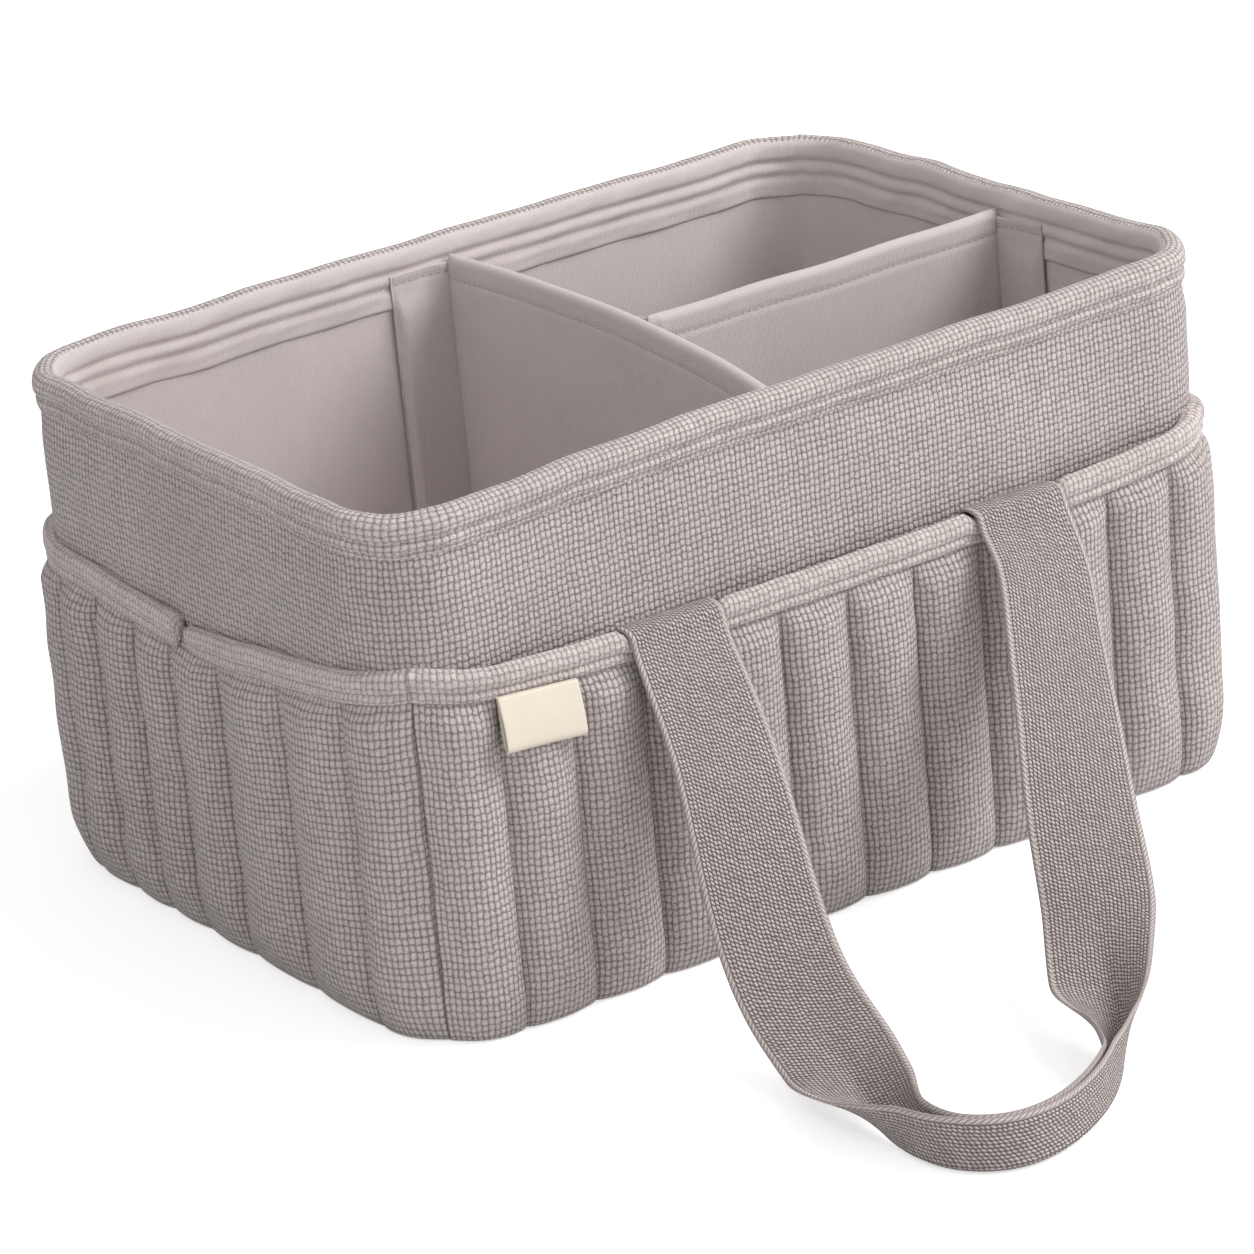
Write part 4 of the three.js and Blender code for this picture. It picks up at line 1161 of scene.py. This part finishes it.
# Dividers and their end tabs: soft upright sheets with a round top edge, along lines over the floor
Upright = namedtuple("Upright", "half low top step end_round puff seam")
PAD = Upright(half=3, low=FLOOR_TOP + 0.4, top=192, step=2.5, end_round=2.6, puff=0.35, seam=9)
FLAP = Upright(half=0.7, low=FLOOR_TOP + 1.7, top=190, step=1, end_round=0.9, puff=0.12, seam=4)
CROSS_END = INNER_WIDTH - 2
CROSS_REAR, CROSS_FRONT, CROSS_BOW = 7, -9, 10
CROSS_MIDDLE, CROSS_SLANT = (CROSS_REAR + CROSS_FRONT) / 2, (CROSS_REAR - CROSS_FRONT) / 2
LONG_LINE = -7
UPRIGHT_SHOULDER = 14
UPRIGHT_END_LEAST = 0.05
UPRIGHT_FOOT = 0.4
FACE_SWELL, FACE_WAVES, LEAN_WAVES, TOP_WAVES = 0.25, 0.3, 0.9, 0.4
SEAM_DEPTH, SEAM_WIDTH = 0.45, 1.1


def cross_line(y, aside):
    share = y / CROSS_END
    slope = (CROSS_SLANT - 2 * CROSS_BOW * share) / CROSS_END
    length = np.hypot(1, slope)
    x = CROSS_MIDDLE + CROSS_SLANT * share + CROSS_BOW * (1 - share**2)
    return x + aside / length, y - aside * slope / length


def standing_piece(name, line, start, stop, form, body, seed, press=None):
    """A padded upright sheet along a line, with a round top, round ends and a stitched seam."""
    places = np.linspace(start, stop, max(8, round(abs(stop - start) / form.step)))
    inset = np.minimum(np.abs(places - start), np.abs(places - stop))
    thin = rounded(inset, form.end_round, UPRIGHT_END_LEAST)[:, None]
    shoulder = form.top - UPRIGHT_SHOULDER
    crown = form.top - form.half
    sides = np.unique(np.concatenate([np.linspace(form.low, shoulder, 34), np.linspace(shoulder, crown, 14)]))
    arc = np.linspace(0, math.pi, 11)[1:-1]
    outline = [(1, level) for level in sides]
    outline += [(math.cos(turn), crown + form.half * math.sin(turn)) for turn in arc]
    outline += [(-1, level) for level in sides[::-1]]
    outline += [(-UPRIGHT_FOOT, form.low), (UPRIGHT_FOOT, form.low)]
    across, level = np.array(outline).T
    face = np.sign(across)
    swell, crumple = waves(seed, length=75), waves(seed + 1, length=26)
    along = places[:, None]
    middle = ramp(level, form.low, 18) * ramp(level, form.top, -12)
    soft = form.puff * (swell(along, level) + 0.35 * crumple(along, level * 0.5))
    groove = SEAM_DEPTH * bell((level - form.top + form.seam) / SEAM_WIDTH)
    bulge = middle * (FACE_SWELL + FACE_WAVES * soft) - groove
    lean = LEAN_WAVES * form.puff * swell(along * 0.7 + 200, level * 0.4)
    aside = (across * form.half + face * bulge) * thin + lean * ramp(level, form.low, 60)
    height = level + TOP_WAVES * swell(along + 90, 0 * level) * ramp(level, 150, 40)
    if press:
        aside = aside + press(along, height)
    x, y = line(along, aside)
    points = settled(np.stack(np.broadcast_arrays(x, y, height), -1))
    piece = grid_piece(name, points, DIVIDER_CLOTH, body)
    off_seam = np.abs(level - form.top + form.seam)
    right, left = [int(np.argmin(off_seam + 50 * (across * way < 0.5))) for way in (1, -1)]
    rows = [(points[1:-1, mark], (points[:, mark] - points[:, other])[1:-1])
            for mark, other in ((right, left), (left, right))]
    stitch_rows(f"{name}_stitches", rows, body, stitch=FINE_STITCH)
    return piece


def build_dividers():
    long_low, long_high = corners("long_divider_cover")
    lines = {
        "cross_divider": (cross_line, -CROSS_END, CROSS_END),
        "long_divider": (lambda x, aside: (x, LONG_LINE + aside), long_low[0], long_high[0]),
    }
    for (name, line), seed in zip(lines.items(), (71, 73)):
        pad = standing_piece(f"{name}_pad", *line, PAD, name, seed)
        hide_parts(f"{name}_cover")


# End tabs: each lies on the face that it is fastened to, pressed on by its free edge and its top
TAB_WIDTH = 23.9
TAB_ROOT = 2.4
TAB_PRESS = 2.3
TAB_MIDDLE = 3.6
TAB_EDGE, TAB_SHOULDER = 20.6, 171
# [axis that it runs along, way that it runs, side that it is pressed to, line of its middle]
TABS = {
    "cross_divider_rear": (0, -1, 1, lambda x, out: (x, INNER_WIDTH - TAB_MIDDLE + out)),
    "cross_divider_front": (0, -1, -1, lambda x, out: (x, TAB_MIDDLE - INNER_WIDTH + out)),
    "long_divider_right": (1, -1, 1, lambda y, out: (INNER_LENGTH - TAB_MIDDLE + out, y)),
    "long_divider_left": (1, 1, -1, lambda y, out: cross_line(y, PAD.half + TAB_MIDDLE + out)),
}


def build_tab(name, seed):
    axis, way, toward, line = TABS[name]
    low, high = corners(f"{name}_tab")
    start = (low if way > 0 else high)[axis]

    def press(along, height):
        far = way * (along - start)
        by_edge = ramp(far, TAB_EDGE, 3)
        by_top = ramp(height, TAB_SHOULDER, 13) * ramp(far, 0, 9)
        return toward * TAB_PRESS * np.maximum(by_edge, by_top)

    tab = standing_piece(f"{name}_flap", line, start - way * TAB_ROOT, start + way * TAB_WIDTH, FLAP,
                         f"{name}_tab", seed, press)
    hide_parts(f"{name}_tab")


# Hidden layers: foam in the walls, and the frame's own solids, moved as the box has settled
FOAM_FACES = (-1.8, -5.6)
FOAM_STEP, FOAM_ROWS, FOAM_BELOW = 6, 24, 1


def settled_copy(node, name, material, body):
    mesh = frame["nodes"][node].data.copy()
    mesh.materials.clear()
    mesh.materials.append(material)
    piece = link(bpy.data.objects.new(name, mesh))
    modifier = piece.modifiers.new("finer", "SUBSURF")
    modifier.subdivision_type = "SIMPLE"
    modifier.levels = modifier.render_levels = 1
    graph = bpy.context.evaluated_depsgraph_get()
    finer = bpy.data.meshes.new_from_object(piece.evaluated_get(graph))
    piece.modifiers.clear()
    piece.data = finer
    place_vertices(finer, settled(vertex_places(finer) / MM) * MM)
    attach(piece, body)
    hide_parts(node)


def body_of_node(node):
    return next(body for body, nodes in frame["record"]["behaviour"]["bodies"].items() if node in nodes)


def build_foam(side):
    node = f"{side.name}_wall_foam"
    low, high = corners(node)
    along = np.linspace(-side.run_half, side.run_half, round(2 * side.run_half / FOAM_STEP))
    heights = np.linspace(low[2], high[2] - FOAM_BELOW, FOAM_ROWS)
    reach = np.repeat(FOAM_FACES, len(heights))
    points = settled(side.wall(along[:, None], reach, np.concatenate([heights, heights[::-1]])))
    foam = grid_piece(f"{side.name}_foam", points, FOAM)
    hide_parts(node)


def build_hidden():
    for side in SIDES.values():
        build_foam(side)
    for divider in ("cross_divider", "long_divider"):
        settled_copy(f"{divider}_board", f"{divider}_stiffener", BOARD, divider)
    for tab in TABS:
        for strip in ("hook", "loop"):
            node = f"{tab}_{strip}_strip"
            settled_copy(node, f"{tab}_{strip}_pile", PILE, body_of_node(node))
    frame["nodes"]["base_board"].data.materials.clear()
    frame["nodes"]["base_board"].data.materials.append(BOARD)


# Stage, in metres: a pale floor, soft light from above and the right, and the photograph's camera
FLOOR_REACH = 6
FLOOR_WHITE = 0.86
FLOOR_GLOW = 0.52
ROOM_LIGHT, ROOM_SEEN = 0.5, 1
CAMERA_CLIP = (0.05, 30)
LIGHTS_AIM = (0, 0, 0.1)
# [place, diameter, power in watts]
LIGHTS = {
    "key": ((1.7, -1.3, 2.1), 1.8, 74),
    "front": ((-0.2, -2.7, 0.7), 2.2, 12),
    "left": ((-1.9, -0.5, 2.4), 2.0, 13),
}


def seen_directly(nodes):
    """1 where the camera, a reflection or clear glass sees the surface, else 0."""
    rays = nodes.add("LightPath").outputs
    seen = nodes.math("MAXIMUM", rays["Is Camera Ray"], rays["Is Glossy Ray"])
    return nodes.math("MAXIMUM", seen, rays["Is Transmission Ray"])


def build_stage():
    mesh = bpy.data.meshes.new("floor")
    edges = [(x * FLOOR_REACH, y * FLOOR_REACH, 0) for x, y in ((-1, -1), (1, -1), (1, 1), (-1, 1))]
    mesh.from_pydata(edges, [], [(0, 1, 2, 3)])
    link(bpy.data.objects.new("floor", mesh))
    nodes = new_material("floor_white", roughness=1, specular=0)
    glow = nodes.math("MULTIPLY", seen_directly(nodes), FLOOR_GLOW)
    mesh.materials.append(nodes.shade({"Base Color": (FLOOR_WHITE, FLOOR_WHITE, FLOOR_WHITE, 1),
                                       "Emission Color": (1, 1, 1, 1), "Emission Strength": glow}))


def build_world():
    nodes = Nodes(bpy.data.worlds.new("white_room"))
    bpy.context.scene.world = nodes.owner
    strength = nodes.add("MapRange", seen_directly(nodes))
    nodes.put_all(strength, {"To Min": ROOM_LIGHT, "To Max": ROOM_SEEN})
    nodes.put_all(nodes.tree.nodes["Background"], {"Color": (1, 1, 1, 1), "Strength": strength.outputs[0]})


def area_light(name, place, size, power):
    light = bpy.data.lights.new(name, "AREA")
    light.shape = "DISK"
    light.size = size
    light.energy = power
    lamp = link(bpy.data.objects.new(name, light))
    lamp.location = place
    lamp.rotation_euler = (Vector(LIGHTS_AIM) - Vector(place)).to_track_quat("-Z", "Y").to_euler()


def build_camera():
    azimuth, elevation, roll = np.radians([CAMERA_AZIMUTH, CAMERA_ELEVATION, CAMERA_ROLL])
    right = Vector((math.cos(azimuth), math.sin(azimuth), 0))
    back = Vector((math.sin(azimuth) * math.cos(elevation), -math.cos(azimuth) * math.cos(elevation),
                   math.sin(elevation)))
    up = back.cross(right)
    turned_right = math.cos(roll) * right + math.sin(roll) * up
    turned_up = math.cos(roll) * up - math.sin(roll) * right
    data = bpy.data.cameras.new("camera")
    data.lens = CAMERA_LENS
    data.sensor_width = CAMERA_SENSOR
    data.clip_start, data.clip_end = CAMERA_CLIP
    camera = link(bpy.data.objects.new("camera", data))
    camera.matrix_world = Matrix.Translation(Vector(CAMERA_PLACE) * MM) @ Matrix(
        (turned_right, turned_up, back)).transposed().to_4x4()
    bpy.context.scene.camera = camera


build_camera()
build_stage()
build_world()
for name, light in LIGHTS.items():
    area_light(name, *light)

build_rim()
build_shell()
build_lining()
build_floor()
build_base()
PANELS = [
    build_panel(SIDES[name], seed, cloth)
    for name, seed, cloth in (("front", 51, SHELL_CLOTH), ("right", 53, GRID_CLOTH),
                              ("rear", 55, SHELL_CLOTH), ("left", 57, GRID_CLOTH))
]
inflate(PANELS)
build_hems()
build_handle("front")
build_handle("rear")
build_tag()
build_dividers()
for seed, name in enumerate(TABS, 80):
    build_tab(name, seed)
build_hidden()
bpy.context.scene.view_settings.view_transform = "Standard"
